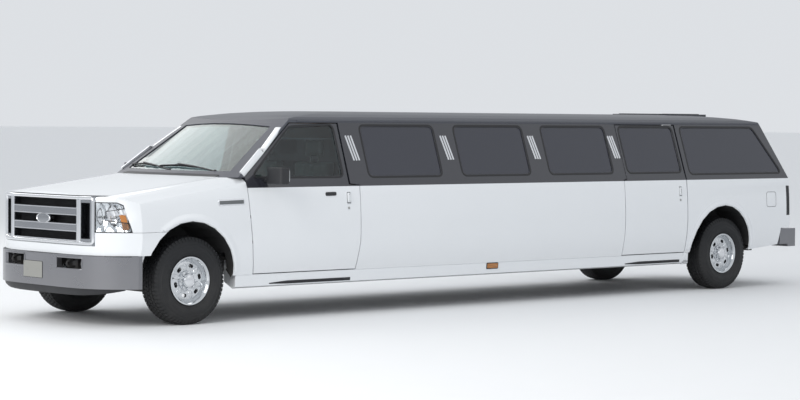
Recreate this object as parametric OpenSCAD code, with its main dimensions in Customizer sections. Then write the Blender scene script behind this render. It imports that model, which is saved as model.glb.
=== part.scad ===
/* [Overall] */
// Distance between the axles
wheelbase = 7546; // [6400:10:8200]
// Front axle to the foremost point of the bumper
front_overhang = 968; // [940:1:1100]
// Rear axle to the rearmost point of the bumper
rear_overhang = 1308; // [1280:1:1500]
// Width of the body at its widest line
body_w = 2032; // [2000:2:2120]
// Height of the roof's crown above the floor
roof_z = 1962; // [1940:1:2060]

/* [Body side] */
// Bottom edge of doors and panels
sill_z = 430; // [410:1:460]
// Height of the widest line of the body side
ridge_z = 810; // [760:1:860]
// Belt line, where the paint changes colour
belt_z = 1240; // [1200:1:1250]
// Lower edge of the side glass
glass_z = 1335; // [1325:1:1345]
// Height where the side meets the roof
rail_z = 1850; // [1830:1:1860]
// How far the side tucks in at the sill
sill_tuck = 54; // [20:1:70]
// How far the side leans in at the belt
belt_tuck = 27; // [10:1:40]
// Half width at the lower edge of the glass
glass_half = 958; // [940:1:965]
// Half width at the roof rail
rail_half = 785; // [760:1:810]
// Thickness of doors and walls below the glass
low_wall = 90; // [70:1:110]
// Thickness of door frames and pillars beside the glass
top_wall = 45; // [30:1:50]
// Thickness of the roof
roof_t = 40; // [25:1:50]
// Thickness of the window glass
glass_t = 6; // [4:0.5:8]
// Depth of the glass below the skin
glass_inset = 8; // [4:1:14]

/* [Doors and lids] */
// Shut line round each door and lid
gap = 9; // [8:0.5:11]
// Hinge line behind the front axle, front door
front_hinge_s = 742; // [735:1:750]
// Rear edge of the front door behind the front axle
front_door_end = 2050; // [2000:10:2150]
// Front edge of the rear door ahead of the rear axle
rear_door_ahead = 1686; // [1600:1:1720]
// Rear edge of the rear door ahead of the rear axle
rear_door_end_ahead = 645; // [600:1:660]
// Hinge pin radius of the side doors
hinge_pin_r = 5; // [4:0.5:6]
// Clearance round a hinge pin
pin_clearance = 0.3; // [0.1:0.1:0.5]
// Width of the hood
hood_half = 775; // [740:1:790]
// Thickness of the hood and fenders
panel_t = 30; // [20:1:35]

/* [Running gear] */
// Outer radius of the tyres
tyre_r = 402; // [385:1:410]
// Width of the tyres
tyre_w = 265; // [235:1:275]
// Radius of the rim
rim_r = 205; // [195:1:215]
// Distance between the front wheel centres
front_track = 1737; // [1720:1:1750]
// Distance between the rear wheel centres
rear_track = 1730; // [1710:1:1750]
// Kingpin line inboard of the front wheel's middle plane
kingpin_in = 118; // [100:1:130]
// Spindle radius
spindle_r = 32; // [28:1:36]
// Clearance between spindle and hub
hub_clearance = 0.4; // [0.2:0.1:0.6]
// Width of a frame rail
rail_w = 70; // [50:1:75]
// Outer face of the frame rails from the middle
rail_out = 490; // [470:1:495]

/* [Tow bar socket] */
// Half the width across the outside of the socket
tow_half = 36; // [34:1:37]
// Half the width of the square bore
tow_bore = 25.6; // [25.4:0.1:26]
// Height of the socket's middle
tow_z = 405; // [395:1:407]
// Radius of the cross pin hole
tow_pin_r = 8.1; // [8:0.1:8.4]

/* [Hidden] */

// ---- Overall places ----
overall = front_overhang + wheelbase + rear_overhang;
front_x = overall / 2 - front_overhang;
half_w = body_w / 2;
axle_z = tyre_r;
stretch_end_s = wheelbase - rear_door_ahead;
body_end_s = wheelbase + rear_overhang - 142;
roof_end_s = body_end_s - 312;
gate_low_z = belt_z - 18;
gate_high_z = rail_z + 35;
rear_wall = 60;
eps = 0.01;
wide = 1500;
far = 12000;

// A station is a distance behind the front axle
function station(s) = front_x - s;
function steps(a, b, n) = [for (i = [0:n]) a + (b - a) * i / n];
function mirrored(pts) = concat(pts, [for (i = [len(pts) - 1:-1:0]) [-pts[i][0], pts[i][1]]]);

// Corners of an outline cut back by r and rounded with short curves
function rounded(pts, r, n = 4) = [
    for (i = [0:len(pts) - 1])
        let (a = pts[(i + len(pts) - 1) % len(pts)], b = pts[i], c = pts[(i + 1) % len(pts)])
        let (p = b + (a - b) * r / norm(a - b), q = b + (c - b) * r / norm(c - b))
        for (t = steps(0, 1, n)) p * (1 - t) * (1 - t) + b * 2 * t * (1 - t) + q * t * t
];

module along_x(x0, x1) { translate([x0, 0, 0]) rotate([90, 0, 90]) linear_extrude(x1 - x0) children(); }
module along_y(y0, y1) { translate([0, y1, 0]) rotate([90, 0, 0]) linear_extrude(y1 - y0) children(); }
module along_z(z0, z1) { translate([0, 0, z0]) linear_extrude(z1 - z0) children(); }
module both_sides() { children(); mirror([0, 1, 0]) children(); }
module block(x0, x1, y0, y1, z0, z1) { translate([x0, y0, z0]) cube([x1 - x0, y1 - y0, z1 - z0]); }

// ---- Body side section ----
function skin_y(z) =
    z < ridge_z ? half_w - sill_tuck * pow((ridge_z - z) / (ridge_z - sill_z), 2) :
    z < belt_z ? half_w - belt_tuck * pow((z - ridge_z) / (belt_z - ridge_z), 2) :
    z < glass_z ? half_w - belt_tuck + (glass_half - half_w + belt_tuck) * (z - belt_z) / (glass_z - belt_z) :
    glass_half + (rail_half - glass_half) * (z - glass_z) / (rail_z - glass_z);

low_heights = concat(steps(sill_z, ridge_z, 4), [for (i = [1:4]) ridge_z + (belt_z - ridge_z) * i / 4]);
roof_fractions = [1, 0.985, 0.94, 0.85, 0.7, 0.5, 0.25, 0];

// Side of the section from sill to rail, moved in by one depth below the glass and another beside it
function side_points(low, top) = concat(
    [for (z = low_heights) [skin_y(z) - low, z]],
    [[glass_half - top, glass_z], [rail_half - top, rail_z]]
);
function roof_point(f, top, depth) = [
    (rail_half - top) * f, rail_z + (roof_z - depth - rail_z) * sqrt(1 - pow(f, 4))
];
function half_section(low, top, depth) = concat(
    [[skin_y(sill_z) - low, 250]],
    side_points(low, top),
    [for (i = [1:len(roof_fractions) - 1]) roof_point(roof_fractions[i], top, depth)]
);
module cabin_section(low, top, depth) { polygon(mirrored(half_section(low, top, depth))); }

// ---- Windshield surface: a bowed sheet in its own tilted frame ----
shield_base_s = 440;
shield_base_z = glass_z + 40;
shield_angle = 33.5;
shield_sag = 55;
function sag(y) = shield_sag * pow(y / 700, 2);
module on_shield() {
    translate([station(shield_base_s), 0, shield_base_z]) rotate([0, shield_angle, 0]) children();
}
module shield_sheet(n0, n1) {
    along_x(-wide, wide / 2) polygon(concat(
        [for (y = steps(-1100, 1100, 14)) [y, n0 - sag(y)]],
        [for (y = steps(1100, -1100, 14)) [y, n1 - sag(y)]]
    ));
}
module shield_outline(grow = 0) {
    along_z(-500, 300) polygon(concat(
        [for (y = steps(-800 - grow, 800 + grow, 8)) [grow - 25 - 85 * pow(y / 700, 2), y]],
        [for (y = steps(660 + grow, -660 - grow, 8)) [-grow - 835 - 30 * pow(y / 700, 2), y]]
    ));
}

// ---- Tailgate plane ----
gate_angle = atan2(body_end_s - roof_end_s, gate_high_z - gate_low_z);
module on_gate() {
    translate([station(body_end_s), 0, gate_low_z]) rotate([0, gate_angle, 0]) children();
}

// ---- Cabin solid, moved in by wall thicknesses ----
roof_front_s = 1150;
function roof_line(s, depth) =
    s < 2600 ? roof_z - depth - 100 * pow((2600 - s) / (2600 - roof_front_s), 2.5) :
    s < roof_end_s - 2800 ? roof_z - depth :
    roof_z - depth - (roof_z - gate_high_z) * pow((s - roof_end_s + 2800) / 2800, 5);
function roof_stations() = concat(
    steps(roof_end_s, roof_end_s - 1800, 6), [roof_end_s - 2800], steps(2600, roof_front_s, 5)
);
module cabin_profile(rear, depth) {
    polygon(concat(
        [[station(200), 200], [station(body_end_s) + rear, 200], [station(body_end_s) + rear, gate_low_z]],
        [for (s = roof_stations()) [station(s) + (s == roof_end_s ? rear : 0), roof_line(s, depth)]],
        [[station(900), roof_line(roof_front_s, depth)], [station(200), roof_line(roof_front_s, depth)]]
    ));
}
module cabin_solid(low, top, rear, depth, front) {
    difference() {
        intersection() {
            along_x(station(body_end_s + 20), station(200)) cabin_section(low, top, depth);
            along_y(-wide, wide) cabin_profile(rear, depth);
        }
        on_shield() shield_sheet(-front, 900);
    }
}
module cabin_shell() {
    difference() {
        cabin_solid(0, 0, 0, 0, 0);
        cabin_solid(low_wall, top_wall, rear_wall, roof_t, top_wall);
    }
}
module cabin_inside(clear = 0) {
    cabin_solid(low_wall + clear, top_wall + clear, rear_wall + clear, roof_t + clear, top_wall + clear);
}

// ---- Front end solid: crowned top, bowed nose and the body side ----
nose_x = 930;
nose_drop = 370;
hood_front_z = 1205;
hood_slope = 0.1267;
nose_points = 9;
function nose_t(i) = pow(i / nose_points, 0.6);
function nose(t) = nose_x - nose_drop * pow(t, 5);
function crown_drop(y) = y < 780 ? 45 * pow(y / 780, 2) : 45 + 95 * pow((y - 780) / 236, 2.2);
module nose_plan(dx, dy = 0) {
    polygon(concat(
        [[-far, -half_w + dy]],
        [for (i = [nose_points:-1:1]) [front_x + nose(nose_t(i)) - dx, -nose_t(i) * (half_w - dy)]],
        [for (i = [1:nose_points]) [front_x + nose(nose_t(i)) - dx, nose_t(i) * (half_w - dy)]],
        [[-far, half_w - dy]]
    ));
}
module front_solid(d) {
    intersection() {
        translate([front_x + nose_x, 0, hood_front_z]) rotate([0, atan(hood_slope), 0])
            along_x(-2600, 300) polygon(concat(
                [[-half_w, -1500]],
                [for (y = steps(-half_w, half_w, 20)) [y, -d - crown_drop(abs(y))]],
                [[half_w, -1500]]
            ));
        along_z(100, 1600) nose_plan(d, d);
        along_x(-far, far) polygon(mirrored(concat(
            [[skin_y(sill_z) - d, 100]], side_points(d, d)
        )));
    }
}
module front_shell(t) {
    difference() {
        front_solid(0);
        front_solid(t);
    }
}

// ---- Wheel arches ----
arch_rise = tyre_r + 144;
function arch(front, rear, e = 0) = concat(
    [for (a = steps(0, 90, 6)) [(front - e) * cos(a), (arch_rise - e) * sin(a)]],
    [for (a = steps(105, 180, 5)) [(rear - e) * cos(a), (arch_rise - e) * sin(a)]],
    [[-(rear - e), -400], [front - e, -400]]
);
module front_arch(e = 0) { translate([front_x, axle_z]) polygon(arch(tyre_r + 118, tyre_r + 114, e)); }
module rear_arch(e = 0) { translate([front_x - wheelbase, axle_z]) polygon(arch(tyre_r + 158, tyre_r + 73, e)); }

// ---- Door outlines, seen from the side, as station and height ----
function to_x(pts) = [for (p = pts) [station(p[0]), p[1]]];
upper_step = 118;
// The upper rear edge of a door moves back as it opens, so its gap is this many times as wide
swing_room = 2.4;
belt_swing_room = 1.6;
sill_swing_room = 1.2;
pillar_foot_z = glass_z + 10;
function pillar_s(z) = front_hinge_s - 102 + (z - pillar_foot_z) * 1.335;
// Opening of the front door; e shrinks it to the door itself
function front_door(e) = to_x([
    [front_hinge_s + 2 + e, sill_z + e], [front_hinge_s - 30 + e, 620], [front_hinge_s - 60 + e, 875],
    [front_hinge_s - 102 + e, pillar_foot_z - e / 2], [pillar_s(rail_z - e) + e * 1.7, rail_z - e],
    [front_door_end - upper_step - e * swing_room, rail_z - e],
    [front_door_end - upper_step - e * swing_room, belt_z + 25 - e], [front_door_end - e, belt_z + 12 - e],
    [front_door_end - e, 700], [front_door_end - 28 - e, sill_z + e]
]);
function rear_door(e) = to_x([
    [stretch_end_s + e, sill_z + e], [stretch_end_s + e, belt_z + 12 - e],
    [stretch_end_s + 48 + e, belt_z + 25 - e], [stretch_end_s + 48 + e, rail_z - e],
    [wheelbase - rear_door_end_ahead - e * swing_room, rail_z - e],
    [wheelbase - rear_door_end_ahead - e * swing_room, glass_z],
    [wheelbase - rear_door_end_ahead - e * belt_swing_room, belt_z],
    [wheelbase - rear_door_end_ahead - e * sill_swing_room, sill_z + e]
]);
front_glass_pts = to_x(rounded([
    [pillar_s(glass_z + 12) + 112, glass_z + 12], [pillar_s(rail_z - 50) + 62, rail_z - 50],
    [front_door_end - 204, rail_z - 26], [front_door_end - 198, glass_z + 4]], 30));
rear_glass_pts = to_x(rounded([[stretch_end_s + 104, glass_z], [stretch_end_s + 104, rail_z - 36],
    [wheelbase - 715, rail_z - 36], [wheelbase - 715, glass_z]], 45));
quarter_glass_pts = to_x(rounded([[wheelbase - 560, glass_z - 22], [wheelbase - 560, rail_z - 36],
    [roof_end_s - 150, rail_z - 36], [body_end_s - 130, glass_z - 22]], 45));
window_count = 3;
window_pitch = (stretch_end_s - front_door_end + 5) / window_count;
function stretch_window(i) = to_x(rounded([
    for (p = [[155, 0], [155, 1], [window_pitch - 150, 1], [window_pitch - 150, 0]])
        [front_door_end + i * window_pitch + p[0], p[1] == 0 ? glass_z : rail_z - 36]
], 55));

// Wall of the body side between two stations
module side_wall(s0, s1) {
    along_x(station(s1), station(s0)) polygon(concat(
        side_points(0, 0), [for (i = [len(low_heights) + 1:-1:0]) side_points(low_wall, top_wall)[i]]
    ));
}
module glass_sheet(pts) {
    intersection() {
        along_x(-far, far) polygon([
            [skin_y(belt_z) - glass_inset, belt_z], [glass_half - glass_inset, glass_z],
            [rail_half - glass_inset, rail_z], [rail_half - glass_inset - glass_t, rail_z],
            [glass_half - glass_inset - glass_t, glass_z], [skin_y(belt_z) - glass_inset - glass_t, belt_z]
        ]);
        along_y(0, wide) polygon(pts);
    }
}
module through_side(y0 = 300) { along_y(y0, wide) children(); }

// ---- Hinges, in a frame with the pin along Z, the leading edge at +X and the inside at -Y ----
post_y = 850;
boss_r = hinge_pin_r + 2;
pin_reach = 14;
notch_room = 3;
module hinge_fixed(height, arm) {
    cylinder(h = height, r = boss_r, center = true, $fn = 32);
    cylinder(h = height + 2 * pin_reach, r = hinge_pin_r, center = true, $fn = 32);
    translate([-boss_r, -arm, -height / 2]) cube([2 * boss_r, arm, height]);
}
module hinge_notch(height, lead, depth, back = 0) {
    room = height + 2 * notch_room;
    translate([-boss_r - notch_room - back, -depth, -room / 2])
        cube([boss_r + notch_room + back + lead, depth + boss_r + notch_room, room]);
    cylinder(h = room + 2 * pin_reach + 4, r = hinge_pin_r + pin_clearance, center = true, $fn = 32);
}
hinge_h = 26;
side_hinge_y = half_w - 18;
rear_hinge_s = stretch_end_s + gap + 40;
side_hinge_zs = [ridge_z - 75, ridge_z + 160];
module at_side_hinges(s) { for (z = side_hinge_zs) translate([station(s), side_hinge_y, z]) children(); }

// Cargo doors hinge at their outer edges, the liftgate at its top and the hood at its rear corners
door_half = 900;
cargo_low_z = 690;
cargo_hinge_y = door_half - gap - 32;
cargo_hinge_depth = 14;
cargo_hinge_zs = [cargo_low_z + 120, gate_low_z - 130];
module at_cargo_hinges() {
    for (z = cargo_hinge_zs)
        translate([station(body_end_s) + cargo_hinge_depth, cargo_hinge_y, z]) rotate([0, 0, 90]) children();
}
gate_top = (rail_z - gate_low_z) / cos(gate_angle);
gate_hinge_up = gate_top - gap - 32;
gate_hinge_depth = 14;
gate_hinge_y = 480;
module at_gate_hinges() {
    on_gate() for (y = [-gate_hinge_y, gate_hinge_y])
        translate([gate_hinge_depth, y, gate_hinge_up]) rotate([90, -90, 0]) children();
}
hood_corner_s = 475;
hood_axis_s = hood_corner_s - 32;
hood_hinge_y = 700;
hood_pin_depth = 15;
hood_axis_z = hood_front_z + hood_slope * (nose_x + hood_axis_s) - crown_drop(hood_hinge_y) - hood_pin_depth;
module at_hood_hinges() {
    for (y = [-hood_hinge_y, hood_hinge_y])
        translate([station(hood_axis_s), y, hood_axis_z]) rotate([90, 0, 180]) children();
}
// Rear edge of the hood, bowed forward in the middle
hood_bow = 270;
cowl_gap = gap + 6;
function hood_edge(e) = [
    for (y = steps(-1100, 1100, 20)) [station(hood_corner_s - hood_bow * (1 - pow(abs(y) / hood_half, 2)) + e), y]
];
// Everything under the hood, seen from above, and everything behind it
module hood_area(e = 0) { polygon(concat(hood_edge(e), [[far, 1100], [far, -1100]])); }
module cowl_area() { polygon(concat(hood_edge(cowl_gap), [[station(900), 1100], [station(900), -1100]])); }

// ---- Heights and widths of the structure ----
floor_z = 570;
floor_t = 30;
rear_floor_z = 720;
rear_floor_s = wheelbase - 796;
rear_floor_half = 650;
rear_sill_z = 645;
rail_in = rail_out - rail_w;
rail_h = 140;
front_rail_z = 500;
mid_rail_z = 430;
rear_rail_z = 600;
rear_end_z = 510;
member_t = 20;
bumper_out = 38;
bumper_t = 60;
bumper_low = 350;
bumper_high = 645;
valance_high = 857;
grille_half = 712;
grille_low = 735;
grille_high = 1178;
front_end_t = 90;
bulkhead_s = 372;

// ---- Frame and floor ----
rail_outline = [
    [-920, front_rail_z], [-920, front_rail_z + rail_h], [520, front_rail_z + rail_h], [760, mid_rail_z + rail_h],
    [rear_floor_s + 30, mid_rail_z + rail_h], [rear_floor_s + 230, rear_floor_z],
    [wheelbase + 560, rear_floor_z], [wheelbase + 800, 640], [body_end_s + 2, 640],
    [body_end_s + 2, rear_end_z], [wheelbase + 800, rear_end_z], [wheelbase + 560, rear_rail_z],
    [rear_floor_s + 230, rear_rail_z], [rear_floor_s + 30, mid_rail_z], [760, mid_rail_z], [520, front_rail_z]
];
member_stations = steps(1400, rear_floor_s - 350, 5);
module rail_bar() { along_y(rail_in, rail_out) polygon(to_x(rail_outline)); }
module frame_rails() {
    color("dimgray") both_sides() intersection() {
        rail_bar();
        along_z(0, 1000) nose_plan(bumper_t - bumper_out, bumper_t + 6);
    }
}
module cross_members() {
    color("dimgray") {
        for (s = member_stations)
            block(station(s + 45), station(s - 45), -rail_in, rail_in, mid_rail_z, mid_rail_z + member_t);
        block(station(100), station(-100), -rail_in - 30, rail_in + 30, 270, front_rail_z);
        block(station(wheelbase + 640), station(wheelbase + 560), -rail_in, rail_in, 620, 660);
        block(station(body_end_s - 40), station(body_end_s - 110), -rail_in, rail_in, 540, 610);
    }
}
// Square socket for a tow bar below the rear bumper, with a hole for its cross pin
tow_front_s = body_end_s - 112;
tow_rear_s = body_end_s - 40;
tow_beam_half = 28;
module tow_receiver() {
    end_s = wheelbase + rear_overhang - 14;
    color("dimgray") difference() {
        union() {
            block(station(end_s), station(tow_front_s), -tow_half, tow_half, tow_z - tow_half, tow_z + tow_half);
            block(station(tow_rear_s), station(tow_front_s), -rail_out, rail_out,
                tow_z - tow_beam_half, tow_z + tow_beam_half);
            both_sides() block(station(tow_rear_s), station(tow_front_s), rail_in, rail_out, tow_z, rear_end_z);
        }
        block(station(end_s + 1), station(tow_front_s + 22), -tow_bore, tow_bore,
            tow_z - tow_bore, tow_z + tow_bore);
        translate([station(end_s - 60), -wide, tow_z]) rotate([-90, 0, 0])
            cylinder(h = 2 * wide, r = tow_pin_r, $fn = 32);
    }
}
module floor_pan() {
    edge = skin_y(sill_z) - low_wall - 5;
    riser = rear_wall + 5;
    color("gray") difference() {
        union() {
            block(station(rear_floor_s + 30), station(bulkhead_s), -edge, edge, floor_z, floor_z + floor_t);
            block(station(rear_floor_s + 30), station(rear_floor_s), -edge, edge, floor_z,
                rear_floor_z + floor_t);
            block(station(body_end_s - riser), station(rear_floor_s), -rear_floor_half, rear_floor_half,
                rear_floor_z, rear_floor_z + floor_t);
            // Sill below the cargo doors
            block(station(body_end_s - 2), station(body_end_s - riser - 25), -door_half, door_half,
                rear_sill_z, cargo_low_z - gap);
            block(station(body_end_s - riser), station(body_end_s - riser - 25), -rear_floor_half,
                rear_floor_half, rear_sill_z, rear_floor_z + 1);
        }
        both_sides() {
            rail_bar();
            through_side(rail_out + 5) front_arch();
        }
    }
}
module firewall() {
    color("white") union() {
        // Bulkhead
        difference() {
            intersection() {
                block(station(bulkhead_s + 28), station(bulkhead_s), -half_w, half_w, floor_z + floor_t, glass_z);
                front_solid(panel_t);
            }
            both_sides() {
                through_side(rail_out + 5) front_arch();
                rail_bar();
            }
            // Room below the hood
            difference() {
                along_z(1000, 1600) hood_area(cowl_gap);
                front_solid(panel_t + 6);
            }
        }
        // Cowl behind the hood
        intersection() {
            difference() {
                front_solid(8);
                front_solid(panel_t);
            }
            block(station(700), station(150), -hood_half - gap, hood_half + gap, 1150, glass_z);
            along_z(0, 2000) cowl_area();
        }
        both_sides() {
            // Hinge pillar
            block(station(front_hinge_s + 20), station(front_hinge_s - 60), 790, post_y, floor_z + floor_t, glass_z);
            difference() {
                block(station(front_hinge_s - 60), station(bulkhead_s), 790, 820, floor_z + floor_t, 1180);
                through_side() front_arch();
            }
            at_side_hinges(front_hinge_s) hinge_fixed(hinge_h, side_hinge_y - post_y + eps);
        }
        // Shelf that carries the hood hinges
        both_sides() block(station(hood_axis_s + 15), station(bulkhead_s), hood_hinge_y - 20, hood_hinge_y + 20,
            hood_axis_z - 70, hood_axis_z - 58);
        at_hood_hinges() hinge_fixed(hinge_h, 60);
    }
}
module windshield_frame() {
    color("black") difference() {
        intersection() {
            cabin_shell();
            along_y(-wide, wide) polygon(to_x([
                [200, glass_z], [200, rail_z], [pillar_s(rail_z), rail_z],
                [front_hinge_s - 102, pillar_foot_z], [front_hinge_s - 102, glass_z]
            ]));
        }
        on_shield() shield_outline();
    }
}
module windshield() {
    color([0.5, 0.6, 0.6, 0.5]) on_shield() intersection() {
        shield_sheet(-glass_inset - glass_t, -glass_inset);
        shield_outline();
    }
}
module roof() {
    color([0.2, 0.2, 0.24]) {
        roof_shell();
        at_gate_hinges() hinge_fixed(hinge_h, 75);
        // Hangers that carry the tailgate's hinges
        for (y = [-gate_hinge_y, gate_hinge_y])
            block(station(roof_end_s - 32), station(roof_end_s - 60), y - hinge_h / 2, y + hinge_h / 2,
                rail_z - 92, rail_z + 1);
    }
}
module roof_shell() {
    difference() {
        intersection() {
            cabin_shell();
            block(station(body_end_s + 50), station(200), -wide, wide, rail_z, 2500);
        }
        block(station(wheelbase + 330), station(wheelbase - 320), -430, 430, rail_z + 20, 2500);
    }
}
module roof_glass() {
    color([0.1, 0.1, 0.12])
        block(station(wheelbase + 329.5), station(wheelbase - 319.5), -429.5, 429.5, rail_z + 66, roof_z + 7);
}
module side_panel_half() {
    post_top = glass_z - 60;
    difference() {
        side_wall(front_door_end - upper_step, stretch_end_s + 48);
        through_side(700) polygon(front_door(0));
        through_side(700) polygon(rear_door(0));
        for (i = [0:window_count - 1]) through_side() polygon(stretch_window(i));
    }
    // Post for the rear door's hinges, inside the panel's rear edge
    block(station(rear_hinge_s + 20), station(stretch_end_s - 10), 790, post_y, floor_z + floor_t, post_top);
    block(station(stretch_end_s - 10), station(stretch_end_s - 70), 790, skin_y(sill_z) - low_wall + 30,
        floor_z + floor_t, post_top);
    at_side_hinges(rear_hinge_s) hinge_fixed(hinge_h, side_hinge_y - post_y + eps);
}
module side_panels() { color("white") both_sides() side_panel_half(); }
module side_windows() {
    color([0.15, 0.16, 0.2]) both_sides() {
        for (i = [0:window_count - 1]) glass_sheet(stretch_window(i));
        glass_sheet(quarter_glass_pts);
    }
}
tail_low = 809;
tail_high = 1156;
tail_front_s = body_end_s - 66;
module tail_region(e = 0) {
    block(station(body_end_s + 20), station(tail_front_s), door_half + 12, wide, tail_low - e, tail_high + e);
}
module quarter_panel_half() {
    rear_edge = wheelbase - rear_door_end_ahead;
    difference() {
        intersection() {
            union() {
                cabin_shell();
                // Rear corner post and the closed lower corner
                intersection() {
                    cabin_solid(0, 0, 0, 0, 0);
                    block(station(body_end_s), station(body_end_s - 150), door_half + 2, wide, sill_z, gate_low_z);
                }
            }
            along_y(0, wide) polygon(to_x([
                [rear_edge, sill_z], [rear_edge, rail_z], [body_end_s + 50, rail_z], [body_end_s + 50, 665],
                [body_end_s - 155, 665], [body_end_s - 175, 475], [wheelbase + 480, sill_z]
            ]));
            block(station(body_end_s + 50), station(rear_edge), 500, wide, 100, 2500);
        }
        through_side() polygon(quarter_glass_pts);
        through_side(700) rear_arch();
        tail_region();
        // Opening of the cargo doors and the tailgate
        block(station(body_end_s + 20), station(body_end_s - rear_wall - 80), 0, door_half,
            640, gate_low_z + 3);
        on_gate() along_x(-60, 130) polygon([
            [0, -60], [door_half, -60], [door_half, 3], [700, gate_top + 40], [0, gate_top + 40]
        ]);
    }
}
module quarter_panels() {
    color("white") both_sides() {
        quarter_panel_half();
        at_cargo_hinges() {
            hinge_fixed(hinge_h, 92);
            translate([0, -92, -hinge_h / 2]) cube([door_half + 5 - cargo_hinge_y, 22, hinge_h]);
        }
    }
}
module tail_lights() {
    color("darkred") both_sides() intersection() {
        cabin_solid(0, 0, 0, 0, 0);
        tail_region(-3);
    }
}

// ---- Front end ----
module fender_half() {
    difference() {
        intersection() {
            front_shell(panel_t);
            block(station(front_hinge_s + 60), station(-1000), hood_half + gap, wide, sill_z, glass_z);
        }
        along_y(850, wide) polygon(concat(front_door(0), to_x([[front_hinge_s + 300, glass_z + 20],
            [front_hinge_s + 300, sill_z]])));
        along_y(0, wide) polygon(to_x([
            [front_hinge_s + 4, sill_z - 20], [front_hinge_s - 30, 620], [front_hinge_s - 60, 875],
            [front_hinge_s - 102, pillar_foot_z], [front_hinge_s + 300, pillar_foot_z], [front_hinge_s + 300, 100]
        ]));
        through_side() front_arch();
        along_y(0, wide) polygon(to_x([
            [-1200, 100], [-1200, 1127], [-745, 1127], [-700, 1100], [-633, valance_high], [-280, valance_high],
            [-280, 100]
        ]));
    }
}
module front_fenders() { color("white") both_sides() fender_half(); }
module hood() {
    color("white") difference() {
        intersection() {
            front_shell(panel_t);
            block(station(700), station(-1000), -hood_half, hood_half, 1100, 1600);
            along_z(0, 2000) hood_area();
            block(station(700), station(-1000), -hood_half, hood_half, grille_high + 6, 1600);
        }
        // Headlight corners
        both_sides() block(station(-690), station(-1200), grille_half + 4, wide, 100, 1131);
        at_hood_hinges() hinge_notch(hinge_h, 60, 60);
    }
}
module headlights() {
    color([0.8, 0.85, 0.9, 0.6]) both_sides() intersection() {
        front_shell(front_end_t);
        along_y(grille_half + 3, wide) polygon(to_x([
            [-1200, valance_high + 3], [-1200, 1124], [-748, 1124], [-703, 1097], [-636, valance_high + 3]
        ]));
    }
}
module grille() {
    slot_half = 500;
    slot_h = 105;
    slot_pitch = 146;
    color("silver") difference() {
        intersection() {
            front_shell(front_end_t);
            block(station(-600), station(-1200), -grille_half, grille_half, grille_low, grille_high);
        }
        for (i = [0:2]) block(station(-600), station(-1200), -slot_half, slot_half,
            grille_low + 45 + i * slot_pitch, grille_low + 45 + i * slot_pitch + slot_h - 32);
        both_sides() block(station(-600), station(-1200), slot_half + 60, grille_half - 50,
            grille_low + 60, grille_high - 60);
    }
}
module front_valance() {
    color("white") difference() {
        intersection() {
            front_shell(front_end_t);
            block(station(-280), station(-1200), -wide, wide, bumper_high + 3, valance_high - 3);
        }
        block(station(-300), station(-1200), -grille_half - 3, grille_half + 3, grille_low - 3, 1400);
        both_sides() through_side() front_arch();
    }
}
module front_bumper() {
    hook_low = 515;
    color("gray") difference() {
        intersection() {
            difference() {
                along_z(bumper_low, bumper_high) nose_plan(-bumper_out, 6);
                along_z(0, 2000) nose_plan(bumper_t - bumper_out, bumper_t + 6);
            }
            block(station(-557), station(-1200), -wide, wide, bumper_low, bumper_high);
        }
        both_sides() block(station(-700), station(-1200), 257, 613, hook_low, hook_low + 112);
        for (y = [-89, 89]) translate([station(-800), y - 118, 490]) rotate([0, 90, 0])
            cylinder(h = 400, r = 3.5, $fn = 24);
    }
}
module rear_bumper() {
    low = 445;
    high = 655;
    color("gray") difference() {
        union() {
            block(station(wheelbase + rear_overhang), station(body_end_s + 2), -985, 985, low, high);
            both_sides() block(station(body_end_s + 2), station(body_end_s - 145), 925, 985, 475, high);
        }
        for (y = [-89, 89]) translate([station(wheelbase + rear_overhang + 10), y, 560]) rotate([0, 90, 0])
            cylinder(h = 400, r = 3.5, $fn = 24);
    }
}
module radiator_support() {
    color([0.15, 0.15, 0.15]) difference() {
        intersection() {
            front_solid(front_end_t);
            block(station(-690), station(-1200), -wide, wide, front_rail_z + rail_h, 1127);
        }
        for (y = [-440, 40]) block(station(-680), station(-1200), y, y + 400, 700, 1090);
    }
}
module rocker_panels() {
    s1 = tyre_r + 143;
    s2 = wheelbase - tyre_r - 168;
    top_out = skin_y(sill_z) - low_wall - 12;
    top_in = top_out - 80;
    color("white") both_sides() along_x(station(s2), station(s1)) polygon([
        [top_in, floor_z], [top_out, floor_z], [top_out, sill_z], [skin_y(sill_z) - 6, sill_z],
        [skin_y(sill_z) - 14, 318], [skin_y(sill_z) - 57, 303], [top_in, 360]
    ]);
}
module wheel_housings() {
    t = 8;
    color([0.08, 0.08, 0.08]) both_sides() {
        intersection() {
            difference() {
                along_y(rail_out + 5, skin_y(ridge_z) - panel_t - 1) front_arch();
                along_y(rail_out + 5 + t, wide) front_arch(t);
            }
            block(station(600), station(-800), 0, wide, front_rail_z + rail_h, 1200);
            front_solid(panel_t);
        }
        intersection() {
            difference() {
                along_y(660, skin_y(ridge_z) - 30) rear_arch();
                along_y(660 + t, wide) rear_arch(t);
            }
            block(station(wheelbase + 700), station(wheelbase - 700), 0, wide, 480, 1200);
            cabin_solid(20, 20, rear_wall, roof_t, top_wall);
        }
    }
}

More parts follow.
